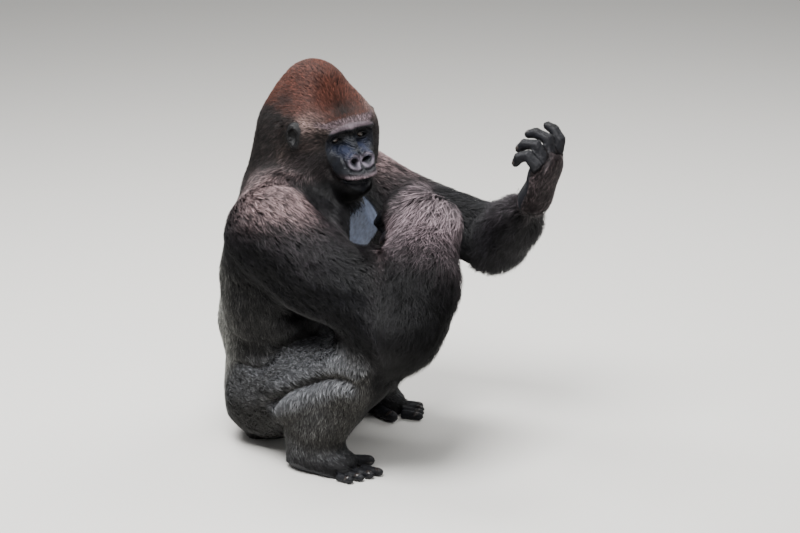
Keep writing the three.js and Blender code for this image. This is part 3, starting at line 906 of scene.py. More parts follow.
open_nostrils_and_eyes()
eye_line = [(EYE_SPREAD + x, y) for x, y in ((-19, -2.5), (-10, 3.6), (0, 7.6), (9, 5.6), (18, -1.5))]
lower_line = [(EYE_SPREAD + x, y) for x, y in ((-17, -3.5), (-8, -7.4), (2, -8.6), (10, -7), (17, -3))]
FOLD_DROP, FOLD_SPREAD = 4.6, 0.1  # each fold under the eye lies lower and runs a little wider
fold_lines = [
    [(x + FOLD_SPREAD * step * (x - EYE_SPREAD), y - FOLD_DROP * step) for x, y in lower_line[:-1]]
    for step in (1, 2, 3, 4, 5)
]
sculpt_face(
    mirrored(
        [
            (eye_line, 3.2, 2.4),  # upper lid
            ([(x, y + 5.5) for x, y in eye_line], 2.6, -1.8),  # fold above it
            ([(x, y + 9.5) for x, y in eye_line], 3.2, 1.5),
            (lower_line, 2.8, 1.8),  # lower lid
            (fold_lines[0], 2.6, -2.2),
            *((line, 2.4, -1.9) for line in fold_lines[1:]),
            ([(0, -88), (22, -89), (46, -92)], 4, -6),  # line of the mouth
        ]
    )
)

print("The eyes are", round(2 * EYE_SPREAD), "mm apart")

# %% Wrinkles
WRINKLES = [
    *(([(0, up), (9, up + 1), (17, up + 5)], 2.2, -1.8) for up in (4, -2, -8, -14)),  # across the bridge
    *(([(x, 12), (x + 2, 24), (x + 6, 36)], 3.0, -1.6) for x in (5, 14)),  # furrows of the brow
    *(([(x, -87), (x * 1.04, -79), (x * 1.1, -71)], 2.0, -1.8) for x in (3, 9, 14, 20, 25, 31, 37)),  # lip
    *(([(x, -96), (x * 1.02, -103)], 1.8, -0.7) for x in (5, 13, 21, 29)),  # chin
    *(
        ([(26 - s, -4 - 3 * s), (22 - s, -11 - 3 * s), (14 - s, -16 - 2.5 * s)], 2.2, -1.8)
        for s in (0, 2, 4)  # beside the bridge
    ),
    *(([(56, -4 - 7 * s), (64, -10 - 8 * s), (68, -20 - 8 * s)], 2.8, -1.8) for s in (0, 1, 2)),  # cheek
    ([(0, -64), (0, -75), (0, -84)], 3.4, -1.6),  # groove of the lip
]
NOSE_GROOVE = ([(0, -24), (0, -36), (0, -48), (0, -60)], 4.4, -4.5)
sculpt_face(mirrored(WRINKLES) + [NOSE_GROOVE])
face_zone = in_face_box(points_of(skin), *FEATURE_BOX)
put_back(skin, relaxed(points_of(skin), skin_edges, 1, 0.25, face_zone))
print("Wrinkles on each side of the face:", len(WRINKLES))

# %% [markdown]
# ## The ears
#
# A gorilla's ear is small and lies close to the head. A rim curls round it, a second fold runs inside the
# rim, and a small flap stands before the hole. The lines are given forward and up from the middle of the
# ear.

# %% Fold the ears
EAR_LINES = (
    ([(9, 8), (4, 17), (-5, 18), (-10, 10), (-11, 0), (-8, -10), (-2, -18)], 3.6, 2.2),  # rim
    ([(3, 10), (-3, 9), (-5, 2), (-4, -5), (0, -10)], 3.0, 3.2),  # inner fold
    ([(2, 3), (2, -4)], 5.5, -5),  # the hole
    ([(8, 0), (8, -7)], 3.6, 3.0),  # the flap before it
)


def fold_ear(side):
    """Sculpts the folds of one ear."""
    own = skin_node == flesh_nodes.index(f"ear_{side}")
    middle = points_of(skin)[own].mean(axis=0)
    outward = head_left * TURN[side]
    tree = tree_of(skin, own)
    laid = []
    for line, width, rise in EAR_LINES:
        spots = [middle + (head_ahead * x + head_up * z + outward * 12) * MM for x, z in curved(line)]
        laid.append((np.array([tree.find_nearest(spot)[0] for spot in spots]), width * MM, rise * MM))
    sculpted(skin, np.flatnonzero(own), laid)


for side in SIDES:
    fold_ear(side)
print("Lines in each ear:", len(EAR_LINES))

# %% [markdown]
# ## Folds and muscles of the body
#
# The coat is short enough to show what lies under it. The calf is pressed against the thigh, and a deep
# fold parts them. Smaller folds of loose skin cross the flank above the thigh. The muscles of the shoulder,
# breast and back are parted by shallow grooves. Each line is given by places near a joint, in millimetres
# forward, out from the body's middle and up, and is drawn onto the skin at the nearest point.

# %% Sculpt the body


def near_joint(joint, side, ahead, out, up):
    """A place near a joint: forward, outward and up from it, in millimetres."""
    return joint[side] + np.array([ahead, TURN[side] * out, up]) * MM


def body_strokes(side):
    """The body's folds on one side: places, half width and height in millimetres."""
    fold = [
        near_joint(hip, side, 45, 143, -11),
        near_joint(knee, side, -100, 46, -12),
        near_joint(knee, side, -52, 60, 18),
        near_joint(knee, side, 0, 74, 46),
        near_joint(knee, side, 50, 90, 60),
        near_joint(knee, side, 90, 90, 60),
    ]
    groin = [
        near_joint(hip, side, -88, 67, 66),
        near_joint(hip, side, -13, 99, 72),
        near_joint(hip, side, 30, 105, 103),
        near_joint(hip, side, 60, 98, 132),
        near_joint(hip, side, 104, 66, 150),
        near_joint(hip, side, 134, 40, 159),
    ]
    flank = [
        [near_joint(hip, side, x, 70, z + x * 0.1) for x in (-90, -40, 10, 70)]
        for z in (108, 128, 149)
    ]
    deltoid = [
        near_joint(shoulder, side, 11, -10, 107),
        near_joint(shoulder, side, 60, -4, 83),
        near_joint(shoulder, side, 130, 20, 40),
        near_joint(shoulder, side, 200, 60, 0),
    ]
    triceps = [
        near_joint(shoulder, side, -60, 110, 40),
        near_joint(shoulder, side, 10, 125, -40),
        near_joint(shoulder, side, 120, 130, -70),
        near_joint(elbow, side, -80, 100, 20),
    ]
    blade = [
        near_joint(shoulder, side, -170, -100, 90),
        near_joint(shoulder, side, -210, -60, 0),
        near_joint(shoulder, side, -200, -20, -90),
    ]
    calf_bulge = [place + (0, 0, -0.042) for place in fold]
    thigh_bulge = [place + (0, 0, 0.040) for place in fold[:-1]]
    return [
        (fold, 26, -15),
        (calf_bulge, 34, 7),
        (thigh_bulge, 32, 6),
        (groin, 20, -8),
        *((line, 9, -3.5) for line in flank),
        (deltoid, 34, -7),
        (triceps, 44, -7),
        (blade, 46, -8),
    ]


def drawn_on(tree, line):
    """A smooth line with each of its points moved to the nearest point of the skin."""
    return np.array([tree.find_nearest(point)[0] for point in curved(line)])


whole = np.ones(len(skin.vertices), bool)
skin_tree = tree_of(skin, whole)
spine = [on_trunk(0.95, 0.5, height) for height in (0.25, 0.45, 0.65, 0.85)]
strokes = [(spine, 60, -9)] + body_strokes("right") + body_strokes("left")
laid = [(drawn_on(skin_tree, line), width * MM, rise * MM) for line, width, rise in strokes]
sculpted(skin, np.flatnonzero(~np.isin(skin_region, SMALL_PARTS + ("hand",))), laid)
print("Strokes on the body:", len(strokes))

# %% [markdown]
# ## Knuckles
#
# Over each joint of a finger or toe the skin lies in short folds across. A bump in the material would be
# lost in the outline of a bent finger, so the folds are ripples of the mesh, which fade to each side of the
# joint.

# %% Wrinkle the digits
KNUCKLE_REACH = 8 * MM
KNUCKLE_PITCH = 3.6 * MM
KNUCKLE_HEIGHT = 0.55 * MM


def along_line(points, line):
    """How far along a line each point's nearest place is."""
    best = np.full(len(points), np.inf)
    reached = np.zeros(len(points))
    start_length = 0.0
    for start, end in zip(line[:-1], line[1:]):
        piece = np.linalg.norm(end - start)
        along = np.clip((points - start) @ (end - start) / piece**2, 0, 1)
        distance = np.linalg.norm(points - start - along[:, None] * (end - start), axis=1)
        nearer = distance < best
        best[nearer] = distance[nearer]
        reached[nearer] = (start_length + along * piece)[nearer]
        start_length += piece
    return reached


points, normals = points_of(skin), normals_of(skin)
for digit, line in digit_lines.items():
    own = np.flatnonzero(skin_node == flesh_nodes.index(digit))
    reached = along_line(points[own], line)
    lengths = np.concatenate([[0], np.cumsum(np.linalg.norm(np.diff(line, axis=0), axis=1))])
    out = np.zeros(len(own))
    for joint in lengths[1:-1]:
        away = reached - joint
        ripple = np.cos(away / KNUCKLE_PITCH * 2 * math.pi)
        out += KNUCKLE_HEIGHT * ripple * np.exp(-((away / KNUCKLE_REACH) ** 2))
    points[own] += normals[own] * out[:, None]
points[:, 2] = np.maximum(points[:, 2], 0)
put_back(skin, points)
print("Digits wrinkled:", len(digit_lines))

# %% [markdown]
# ## The lie of the coat
#
# Hair lies back over the crown and down the nape and back. On the upper arm it runs down to the elbow, but
# on the forearm it runs up to the elbow, away from a whorl at the wrist. Short lines along each part say
# which way the hair points there. Each point takes its direction from the lines near it, pressed flat onto
# the skin, and smoothed so that one part's hair runs on into the next.

# %% Draw the lines of flow
cheek = {side: on_head([-5, 70 * TURN[side], -70]) for side in SIDES}
crown_top = on_head([-30, 0, 90])
nape = on_head([-150, 0, -10])
flows = {
    "face": [
        [on_head([34, 0, 8]), on_head([10, 0, 60])],
        *([on_head([30, 30 * s, 10]), on_head([0, 60 * s, 45])] for s in (-1, 1)),
        *([on_head([20, 48 * s, -20]), on_head([-25, 80 * s, -60])] for s in (-1, 1)),
        *([on_head([30, 45 * s, -80]), on_head([-10, 75 * s, -120])] for s in (-1, 1)),
        [on_head([50, 0, -120]), on_head([20, 0, -160])],
    ],
    "head": [
        [on_head([20, 0, 40]), crown_top, nape],
        *(
            [on_head([0, 50 * s, 30]), on_head([-60, 70 * s, 50]), on_head([-140, 55 * s, 0])]
            for s in (-1, 1)
        ),
        *([on_head([-10, 75 * s, -40]), on_head([-60, 95 * s, -90])] for s in (-1, 1)),
        [on_head([20, 0, -140]), on_head([-40, 0, -170])],
    ],
    "neck": [
        [nape, on_trunk(0.8, 0.5, 0.95)],
        *([cheek[side], (shoulder[side] + trunk_centre) / 2] for side in SIDES),
    ],
    "trunk": [
        [on_trunk(0.75, y, 0.95), on_trunk(0.95, y, 0.6), on_trunk(0.95, y, 0.3), on_trunk(0.85, y, 0.0)]
        for y in (0.2, 0.5, 0.8)
    ]
    + [
        [on_trunk(x, y, 0.7), on_trunk(x, y * 1.05, 0.35), on_trunk(x, y, 0.0)]
        for x, y in ((0.3, 0.0), (0.6, 0.0), (0.3, 1.0), (0.6, 1.0), (0.0, 0.3), (0.0, 0.7), (0.0, 0.5))
    ],
    "upper_arm": [[shoulder[side] + (0, 0, 0.08), elbow[side]] for side in SIDES],
    "forearm": [
        [wrist[side] + outward * near, elbow[side] + outward * far + (0, 0, -0.03)]
        for side in SIDES
        for outward in (np.array([0.07, 0.02 * TURN[side], 0.0]),)
        for near, far in ((0.3, -1), (0.8, 0.2), (1.1, 1.2))
    ],
    "hand": [[wrist[side], digit_lines[f"middle_finger_{side}"][0]] for side in SIDES],
    "thigh": [[hip[side], knee[side] + (0.02, 0, -0.02)] for side in SIDES],
    "lower_leg": [[knee[side], ankle[side]] for side in SIDES],
    "foot": [[ankle[side], digit_lines[f"third_toe_{side}"][0]] for side in SIDES],
    "ear": [[on_head([-90, 0, -20]), on_head([-110, 0, 40])]],
    "finger": [list(digit_lines[f"{finger}_{side}"]) for side in SIDES for finger in FINGERS],
    "toe": [list(digit_lines[f"{toe}_{side}"]) for side in SIDES for toe in TOES],
}

# %% Find the lie at every point of the skin
FLOW_NEARNESS = 40 * MM
LIE_ROUNDS = 12


def limb_share(points, start, end):
    """How far along a limb each point is: 0 at its start, 1 at its end."""
    return (points - start) @ (end - start) / ((end - start) @ (end - start))


def flow_at(places, region):
    """The direction of the region's lines, blended by how near they are."""
    total = np.zeros((len(places), 3))
    for line in flows[region]:
        corners = np.array(line)
        for start, end in zip(corners[:-1], corners[1:]):
            along = np.clip(limb_share(places, start, end), 0, 1)
            distance = np.linalg.norm(places - start - along[:, None] * (end - start), axis=1)
            total += unit(end - start) / (distance[:, None] ** 3 + FLOW_NEARNESS**3)
    return unit(total)


def flattened(directions, normals):
    """The directions pressed onto the surface."""
    return unit(directions - normals * dot(directions, normals)[:, None])


def lie_field(places, normals, edges, shares, regions):
    """The way that the hair points at each place, as a direction along the surface."""
    total = np.zeros((len(places), 3))
    for region in dict.fromkeys(regions):
        part = shares[:, [r == region for r in regions]].sum(axis=1)
        total += flow_at(places, region) * part[:, None]
    lie = flattened(total, normals)
    for _ in range(LIE_ROUNDS):
        lie = flattened(relaxed(lie, edges, 1), normals)
    return lie


skin_points = points_of(skin)
skin_normals = normals_of(skin)
lie = lie_field(shell_points, normals_of(shell), shell_edges, shell_share, shell_regions)[near_shell]
for region in SMALL_PARTS:
    own = skin_region == region
    lie[own] = flow_at(skin_points[own], region)
lie = flattened(relaxed(lie, skin_edges, 4), skin_normals)
print("Share of the coat that points down:", (lie[:, 2] < 0).mean().round(2))

# %% [markdown]
# ## Markings
#
# A silverback is black with a silver saddle over the back and hips. This one has the red-brown crown of the
# western lowland race, and brown grizzled hair with pale tips on the neck, shoulders and wrists. An image
# could be painted over the body, but it would have to be unwrapped first. Here each marking is a soft-edged
# area given by sums of places, and colours the hair's roots, its tips or the hide. Most markings are the
# animal's own colours. Some are painted light and shade: painted highlights on the tops of the brow,
# shoulders, upper arms, wrists and thighs and on the rims of the nostrils, painted shade in the dip above the
# brow, under it, round the eyes, under the jaw and on the underside of the upper arms, and a painted bluish
# sheen on the bare face and breast. The skin and the coat both take these colours, so they always agree.

# %% The colours before the markings
HAIR = {  # colour at the root and at the tip
    "face": ("#0c0a0a", "#2e2826"),
    "head": ("#0d0a09", "#352b29"),
    "ear": ("#0b0b0d", "#1c1a1a"),
    "neck": ("#090808", "#262120"),
    "trunk": ("#0a0a0b", "#2a2928"),
    # near black: the arm's own black, darker still as painted shade on its underside
    "upper_arm": ("#060608", "#141417"),
    "forearm": ("#070709", "#242226"),
    "hand": ("#121011", "#554a4c"),
    "finger": ("#0c0b0e", "#18171a"),
    "thigh": ("#131313", "#4b4a49"),
    "lower_leg": ("#111110", "#4e4c49"),
    "foot": ("#08080a", "#151417"),
    "toe": ("#08080a", "#121114"),
}
HIDE = "#131419"
PALE_SHARE, PALE_MOST = 0.25, 0.8  # share of locks with pale tips, before the markings and at most


def region_colours(end):
    """The hair's colour at the root (0) or the tip (1), blended from part to part."""
    blend = share @ np.array([linear(HAIR[region][end]) for region in shell_regions])
    for region in SMALL_PARTS:
        blend[skin_region == region] = linear(HAIR[region][end])
    return blend


colours = {
    "root": region_colours(0),
    "tip": region_colours(1),
    "hide": np.tile(linear(HIDE), (len(skin_points), 1)),
}
pale = np.full(len(skin_points), PALE_SHARE)
grizzle = np.ones(len(skin_points))  # how far pale and dark tips differ


# A mark is the hair's or hide's own colour, or in some places painted light and shade.
def dye_and_light(which, code, amount):
    """Turns the root, tip or hide colours towards a hex colour, by an amount at each point."""
    colours[which] += (linear(code) - colours[which]) * amount[:, None]


def spot(*axes):
    """1 at a place, fading round it. Each axis is a coordinate, its value at the place, and its reach."""
    return np.exp(-sum(((value - centre) / reach) ** 2 for value, centre, reach in axes))

# %% Mark the head, in millimetres from between the eyes
ahead, left, up = from_head(skin_points).T
left = np.abs(left)
over_brow = up - 0.4 * ahead
head_share = share_of("face", "head")

crown = share_of("face", "head", "neck") * ramp(over_brow, 40, 48) * ramp(up, -6, 26)
crown *= 1 - ramp(left - 0.3 * up, 74, 98)
dye_and_light("tip", "#583126", crown)
dye_and_light("root", "#1a0e0a", crown)
grizzle -= 0.6 * crown
crown_side = crown * spot((ahead, -128, 32), (up, 70, 26)) * ramp(left, 60, 90)
dye_and_light("tip", "#1c1211", crown_side * 0.75)

# Painted shade: darker hair in the dip between the brow and the crown.
brow_dip_shade = spot((ahead, -12, 26), (left, 0, 32), (up, 60, 15))
dye_and_light("tip", "#150805", brow_dip_shade)
dye_and_light("root", "#0b0604", brow_dip_shade)

temple = head_share * spot((ahead, -26, 38), (up, 38, 18)) * ramp(left, 46, 68)
dye_and_light("tip", "#86706b", temple * 0.9)

brow_band = head_share * ramp(up, 34, 40) * (1 - ramp(over_brow, 38, 46)) * ramp(ahead, -40, -18)
dye_and_light("tip", "#76656a", brow_band)
dye_and_light("root", "#32292b", brow_band)

cheeks = head_share * (1 - ramp(up, -34, -10)) * ramp(ahead, -150, -60)
dye_and_light("tip", "#2b2728", cheeks)
behind_ear = head_share * spot((ahead, -88, 20), (up, -42, 26)) * ramp(left, 60, 85)
dye_and_light("tip", "#77665f", behind_ear * 0.8)

# Dark hair of the chin and throat, spread along the neck as painted shadow in the crease under the jaw.
beard_and_jaw_shade = (1 - ramp(up, -112, -84)) * ramp(ahead, -110, -60) * (1 - ramp(left, 130, 172))
dye_and_light("tip", "#0e0d0f", beard_and_jaw_shade)
dye_and_light("root", "#050506", beard_and_jaw_shade)
pale += 0.25 * head_share * (1 - beard_and_jaw_shade) + 0.2 * temple

# %% Mark the trunk
height = (skin_points[:, 2] - trunk_low[2]) / (trunk_high[2] - trunk_low[2])
backward = (trunk_high[0] - skin_points[:, 0]) / (trunk_high[0] - trunk_low[0])

saddle = share_of("trunk") * ramp(backward, 0.58, 0.92)
saddle *= (1 - ramp(height, 0.66, 0.92)) * ramp(height, 0.05, 0.3)
dye_and_light("tip", "#82827d", saddle)
dye_and_light("root", "#3d3d3b", saddle)
pale += 0.3 * saddle

# Grizzled brown hair on the shoulders, paler on their tops as a painted highlight where light falls from
# above.
shoulders = share_of("trunk", "upper_arm") * ramp(skin_points[:, 2], 0.62, 0.71) * (1 - crown)
shoulders *= ramp(skin_points[:, 0], -0.02, 0.10) * (1 - beard_and_jaw_shade)
dye_and_light("tip", "#8b7575", shoulders * 0.85)
dye_and_light("root", "#120e0f", shoulders * 0.7)
pale += 0.2 * shoulders

breast_hair = share_of("trunk") * (1 - ramp(backward, 0.25, 0.5))
dye_and_light("tip", "#1c1b1e", breast_hair)
dye_and_light("root", "#0c0c0e", breast_hair)

# %% Mark the arms and thighs
WRIST_HIGHLIGHT = np.array([112, 4, 62]) * MM  # painted highlight: the palest, sunlit place, on the bend of the right wrist
WRIST_HIGHLIGHT_REACH = 54 * MM
FOREARM_GREY = {"right": 1.0, "left": 0.12}  # how far the pale hair of the wrist, with its painted top light, spreads on each arm

for side in SIDES:
    own = share[:, shell_nodes.index(f"upper_arm_{side}")]
    along_arm = limb_share(skin_points, shoulder[side], elbow[side])
    # Grizzle near the shoulder, and a painted highlight on the top of the upper arm, where it faces up.
    top_grizzle_and_light = own * (1 - ramp(along_arm, 0.15, 0.75)) * ramp(skin_normals[:, 2], -0.3, 0.6)
    dye_and_light("tip", "#2e282b", top_grizzle_and_light * (1 - shoulders) * 0.75)
    pale += 0.2 * top_grizzle_and_light
    own = share[:, shell_nodes.index(f"forearm_{side}")] * FOREARM_GREY[side]
    # Pale hair on the back of the wrist, brightest where it faces up: partly its own colour, partly painted
    # light.
    near_wrist = own * (1 - ramp(limb_share(skin_points, wrist[side], elbow[side]), 0.05, 0.8))
    near_wrist *= ramp(skin_normals[:, 2], -0.5, 0.7)
    dye_and_light("tip", "#75666b", near_wrist * 0.95)
    dye_and_light("root", "#241f21", near_wrist * 0.6)
    inner = own * ramp(elbow[side][0] - skin_points[:, 0], -0.02, 0.05)
    dye_and_light("tip", "#6e6062", inner * 0.75)
    pale += 0.3 * np.maximum(near_wrist, inner)
# A painted highlight: a pool of light on the top of the right wrist.
from_wrist_highlight = np.linalg.norm(skin_points - wrist["right"] - WRIST_HIGHLIGHT, axis=1)
wrist_highlight = spot((from_wrist_highlight, 0, WRIST_HIGHLIGHT_REACH))
dye_and_light("tip", "#b3a2a7", wrist_highlight * 0.8)

# Painted light: thighs and calves paler where they face up, as if lit from above.
thigh_top_light = share_of("thigh", "lower_leg") * ramp(skin_normals[:, 2], -0.4, 0.9)
dye_and_light("tip", "#94969a", thigh_top_light * 0.85)
dye_and_light("root", "#35363a", thigh_top_light * 0.85)
pale += 0.3 * thigh_top_light
grizzle -= 0.4 * share_of("thigh", "lower_leg")
pale = np.clip(pale, 0, PALE_MOST)
print("Locks with pale tips:", round(pale.mean() * 100), "in a hundred")

# %% Mark the bare hide
dye_and_light("hide", "#101217", (skin_region == "face").astype(float))
dye_and_light("hide", "#060608", (skin_region == "ear").astype(float))
lip_edge = spot((up, -80, 7)) * np.exp(-((left / 44) ** 4)) * ramp(ahead, 40, 55) * ramp(up, -91, -87)
dye_and_light("hide", "#85747a", lip_edge * 0.85)
# Painted reflection: a bluish sheen on the dark skin under the eyes and beside the nose.
under_eye_sheen = spot((up, -16, 14), (left, EYE_SPREAD, 24)) * ramp(ahead, -30, -5)
dye_and_light("hide", "#20263a", under_eye_sheen * 0.6)
nose_side_sheen = spot((up, -22, 16), (left, 22, 14)) * ramp(ahead, 0, 30)
dye_and_light("hide", "#20263a", nose_side_sheen * 0.5)
# Painted shade in the deep sockets round the eyes.
eye_socket_shade = np.exp(-((np.hypot(left - EYE_SPREAD, up * 1.6) / 17) ** 4)) * ramp(ahead, -20, 0)
dye_and_light("hide", "#08080a", eye_socket_shade)
# Painted shadow under the overhang of the brow.
under_brow_shadow = ramp(up, 7, 13) * (1 - ramp(up, 22, 28)) * ramp(ahead, -45, -20)
dye_and_light("hide", "#08080a", under_brow_shadow)
# Painted highlight: paler hide on the top of the brow ridge, where light falls.
brow_top_highlight = ramp(up, 27, 34) * ramp(ahead, -45, -20) * (1 - ramp(up, 60, 70))
dye_and_light("hide", "#554a50", brow_top_highlight * 0.85)
# Painted highlight on the smooth padded rims of the nostrils.
round_nostril = np.hypot((left - 19) / 16, (up + 41) / 15)
nostril_rim_highlight = spot((round_nostril, 1, 0.25)) * ramp(ahead, 30, 45)
dye_and_light("hide", "#6b646f", nostril_rim_highlight * 0.85)
# The bare breast: dark hide, made pale blue-grey as a painted sunlit sheen.
dye_and_light("hide", "#626b80", bare_chest)

cover = ramp(hairy, 0.08, 0.6)[:, None]  # where hair hides the skin, it takes a shade of the hair
skin_colour = colours["hide"] * (1 - cover) + (0.55 * colours["root"] + 0.35 * colours["tip"]) * cover

# %% [markdown]
# ## Growing the coat
#
# Hair curves look finer, but they aren't solid, and a cast or a print would lose them. So a lock is a thin
# blade with a ridge along it, open below. It starts under the skin, rises to the height of the coat, and
# runs along the body to a point. Its path is walked over the skin: a step along the lie, back down onto the
# surface, and on. Locks near each other lean to the same line, so that long hair breaks into clumps, and
# under the forearms the long locks hang a little.

# %% Sow the roots
CM2 = 1e-4
BALD, FURRED = 0.04, 0.4  # how hairy the skin is where locks start to grow, and where they stand full
skin_triangles = triangles_of(skin)
skin_tree = BVHTree.FromPolygons(skin_points.tolist(), skin_triangles.tolist())
first, second, third = skin_points[skin_triangles].transpose(1, 0, 2)
triangle_area = np.linalg.norm(np.cross(second - first, third - first), axis=1) / 2


def of_region(field):
    """One column of the coat table at every point, each point by its own part."""
    return relaxed(coat_values(field, skin_region), skin_edges, 4)


density = of_region("density") * ramp(hairy, BALD, FURRED)
expected = np.cumsum(triangle_area / CM2 * density[skin_triangles].mean(axis=1))
places = np.arange(int(expected[-1])) + chance.random(int(expected[-1]))
root_triangle = np.minimum(np.searchsorted(expected, places), len(skin_triangles) - 1)
u, v = chance.random((2, len(root_triangle)))
u, v = np.where(u + v > 1, 1 - u, u), np.where(u + v > 1, 1 - v, v)
corner_weight = np.stack([1 - u - v, u, v], axis=1)


def at_roots(values):
    """The values of the skin's points, at each root."""
    corners = values[skin_triangles[root_triangle]]
    return np.einsum("nc,nc...->n...", corner_weight, corners)


def varied(values, spread):
    """Each value times a random factor that differs from one by up to the spread."""
    return values * chance.uniform(1 - spread, 1 + spread, len(values))

# %% Give each lock its place, size and shade
SHORTEST = 0.4  # share of their length that locks keep where the coat gives out
SPECKLE = 2  # locks that share one shade, so that it can be seen
SHADE_MIDDLE, SHADE_SPREAD = -0.03, 0.26  # the logarithm of a group's shade; shades average about one
OWN_SPREAD = 0.12  # how much each lock differs from its group
PALER, DARKER = 1.1, 0.5  # how much brighter than the marking a pale tip is, and how much duller a dark one

root = at_roots(skin_points)
root_normal = unit(at_roots(skin_normals))
root_lie = flattened(at_roots(lie), root_normal)
lock_depth = varied(at_roots(depth) * MM, spread=0.2)
full_length = at_roots(of_region("length")) * MM
lock_length = varied(full_length * (SHORTEST + (1 - SHORTEST) * at_roots(hairy)), spread=0.3)
lock_width = varied(at_roots(of_region("width")) * MM, spread=0.25)
lock_curl = at_roots(of_region("curl"))

speckles = chance.choice(len(root), len(root) // SPECKLE, replace=False)
speckle = nearest_of(root, root[speckles])
pale_tip = chance.random(len(speckles))[speckle] < at_roots(pale)
group_shade = chance.lognormal(SHADE_MIDDLE, SHADE_SPREAD, len(speckles))[speckle]
lock_shade = group_shade * chance.normal(1, OWN_SPREAD, len(root))
lock_contrast = 1 + np.where(pale_tip, PALER, -DARKER) * at_roots(grizzle)
lock_start = at_roots(colours["root"]) * lock_shade[:, None]
lock_end = at_roots(colours["tip"]) * (lock_shade * lock_contrast)[:, None]
root_part = np.array(flesh_nodes)[skin_node[skin_triangles[root_triangle, 0]]]
print("Locks:", len(root))

# %% Comb the locks over the skin
Kind = namedtuple("Kind", "levels rise widths hang")  # shares of length, coat depth, width and length
SHORT = Kind(levels=(0.0, 0.48, 1.0), rise=(-0.1, 0.8, 1.0), widths=(0.9, 0.85), hang=0)
LONG = Kind(levels=(0.0, 0.34, 0.7, 1.0), rise=(-0.1, 0.6, 1.1, 1.4), widths=(0.8, 1.0, 0.7), hang=0.25)
LEAN = 0.22  # how far, in radians, a lock may turn from the lie
STRAIGHT_BEND, CURL_BEND = 0.6, 3.0  # how many leans a lock turns on its way, and how many more if curled
STRAY = 0.5  # a step that ends farther from the skin than this share of itself hangs free
SAME_SIDE = 0.2  # and so does one that would end on skin facing away
LIFT = 1.2  # how much of its width a tip may stand off
LOWEST = 1.0 * MM
CLUMP = 14  # locks in a clump
LOOSE, TIGHT = 0.1, 0.75  # how far the tips of a clump gather, from straight hair to the most curled
ONE_WAY = 0.7  # a lock joins a clump only if it lies about the same way
triangle_lie = unit(lie[skin_triangles].mean(axis=1))


def turned(directions, normals, angles):
    """Directions turned about the normals."""
    sideways = np.cross(normals, directions)
    return directions * np.cos(angles)[:, None] + sideways * np.sin(angles)[:, None]


def walked(own, kind):
    """The points along each lock on its own, from root to tip."""
    curl = lock_curl[own]
    bend = chance.normal(0, LEAN, len(own)) * (STRAIGHT_BEND + CURL_BEND * curl**2)
    base, normal = root[own], root_normal[own]
    heading = turned(root_lie[own], normal, chance.normal(0, LEAN, len(own)) * (0.5 + curl))
    path = [base + normal * (lock_depth[own] * kind.rise[0])[:, None]]
    for before, level, rise in zip(kind.levels, kind.levels[1:], kind.rise[1:]):
        stride = (lock_length[own] * (level - before))[:, None]
        beyond = base + heading * stride
        found = [skin_tree.find_nearest(point)[:3] for point in beyond.tolist()]
        landed = np.array([hit[0] for hit in found])
        facing = np.array([hit[1] for hit in found])
        good = np.linalg.norm(landed - beyond, axis=1) < STRAY * stride.ravel()
        good &= dot(facing, normal) > SAME_SIDE
        base = np.where(good[:, None], landed, beyond)
        normal = np.where(good[:, None], facing, normal)
        fresh = np.where(good[:, None], triangle_lie[[hit[2] for hit in found]], heading)
        heading = flattened(turned(unit(fresh + heading), normal, bend * (1 + level)), normal)
        stand = lock_depth[own] * rise + lock_width[own] * LIFT * level * chance.random(len(own))
        path.append(base + normal * stand[:, None])
    return np.stack(path, axis=1)


def combed(own, kind):
    """The paths of the locks numbered in own, gathered into clumps, hanging, and kept above the floor."""
    path = walked(own, kind)
    leaders = chance.choice(len(own), max(len(own) // CLUMP, 1), replace=False)
    leader = leaders[nearest_of(root[own], root[own][leaders])]
    gather = np.array(kind.levels) ** 1.3 * np.clip(LOOSE + 1.1 * lock_curl[own], 0, TIGHT)[:, None]
    gather *= (dot(root_lie[own], root_lie[own][leader]) > ONE_WAY)[:, None]
    path += (path[leader] - path) * (gather * chance.uniform(0.3, 1.0, (len(own), 1)))[:, :, None]
    if kind.hang:
        under = ramp(-root_normal[own][:, 2], 0.0, 0.8) * lock_length[own] * kind.hang
        under = under * chance.random(len(own))
        path[:, :, 2] -= under[:, None] * np.array(kind.levels) ** 2
    path[:, 1:, 2] = np.maximum(path[:, 1:, 2], LOWEST)
    return path

# %% [markdown]
# ## Locks as mesh
#
# Every lock becomes a few triangles: six for a short one, ten for a long one. Its colour goes from root to
# tip, and some tips are pale, which gives the grizzled look. An unwrap of every blade would leave each a
# speck. So each piece of coat has a map named OFBake in which the skin under the piece is unwrapped, and a
# lock is a tiny patch at the place of its root.

# %% Make a piece of coat
RIDGE = 0.4  # height of the ridge, as a share of the width
PATCH = 0.003  # side of a lock's patch in the map
ISLAND_GAP = 0.004  # between the parts of the unwrapped skin
TIP_BLEND = 2.2  # above one, the root's colour runs far along the lock


def unwrapped(triangles, points):
    """A place in the unit square for each corner of each triangle, from an unwrap of the skin's own shape."""
    piece = piece_from("unwrap", mesh_from("unwrap", points, triangles))
    piece.data.uv_layers.new(name="OFBake")
    bpy.context.view_layer.objects.active = piece
    piece.select_set(True)
    bpy.ops.object.mode_set(mode="EDIT")
    bpy.ops.mesh.select_all(action="SELECT")
    bpy.ops.uv.smart_project(angle_limit=math.radians(66), island_margin=ISLAND_GAP)
    bpy.ops.object.mode_set(mode="OBJECT")
    places = taken(piece.data.uv_layers["OFBake"].data, "uv", 2)
    bpy.data.objects.remove(piece)
    return places.reshape(-1, 3, 2)


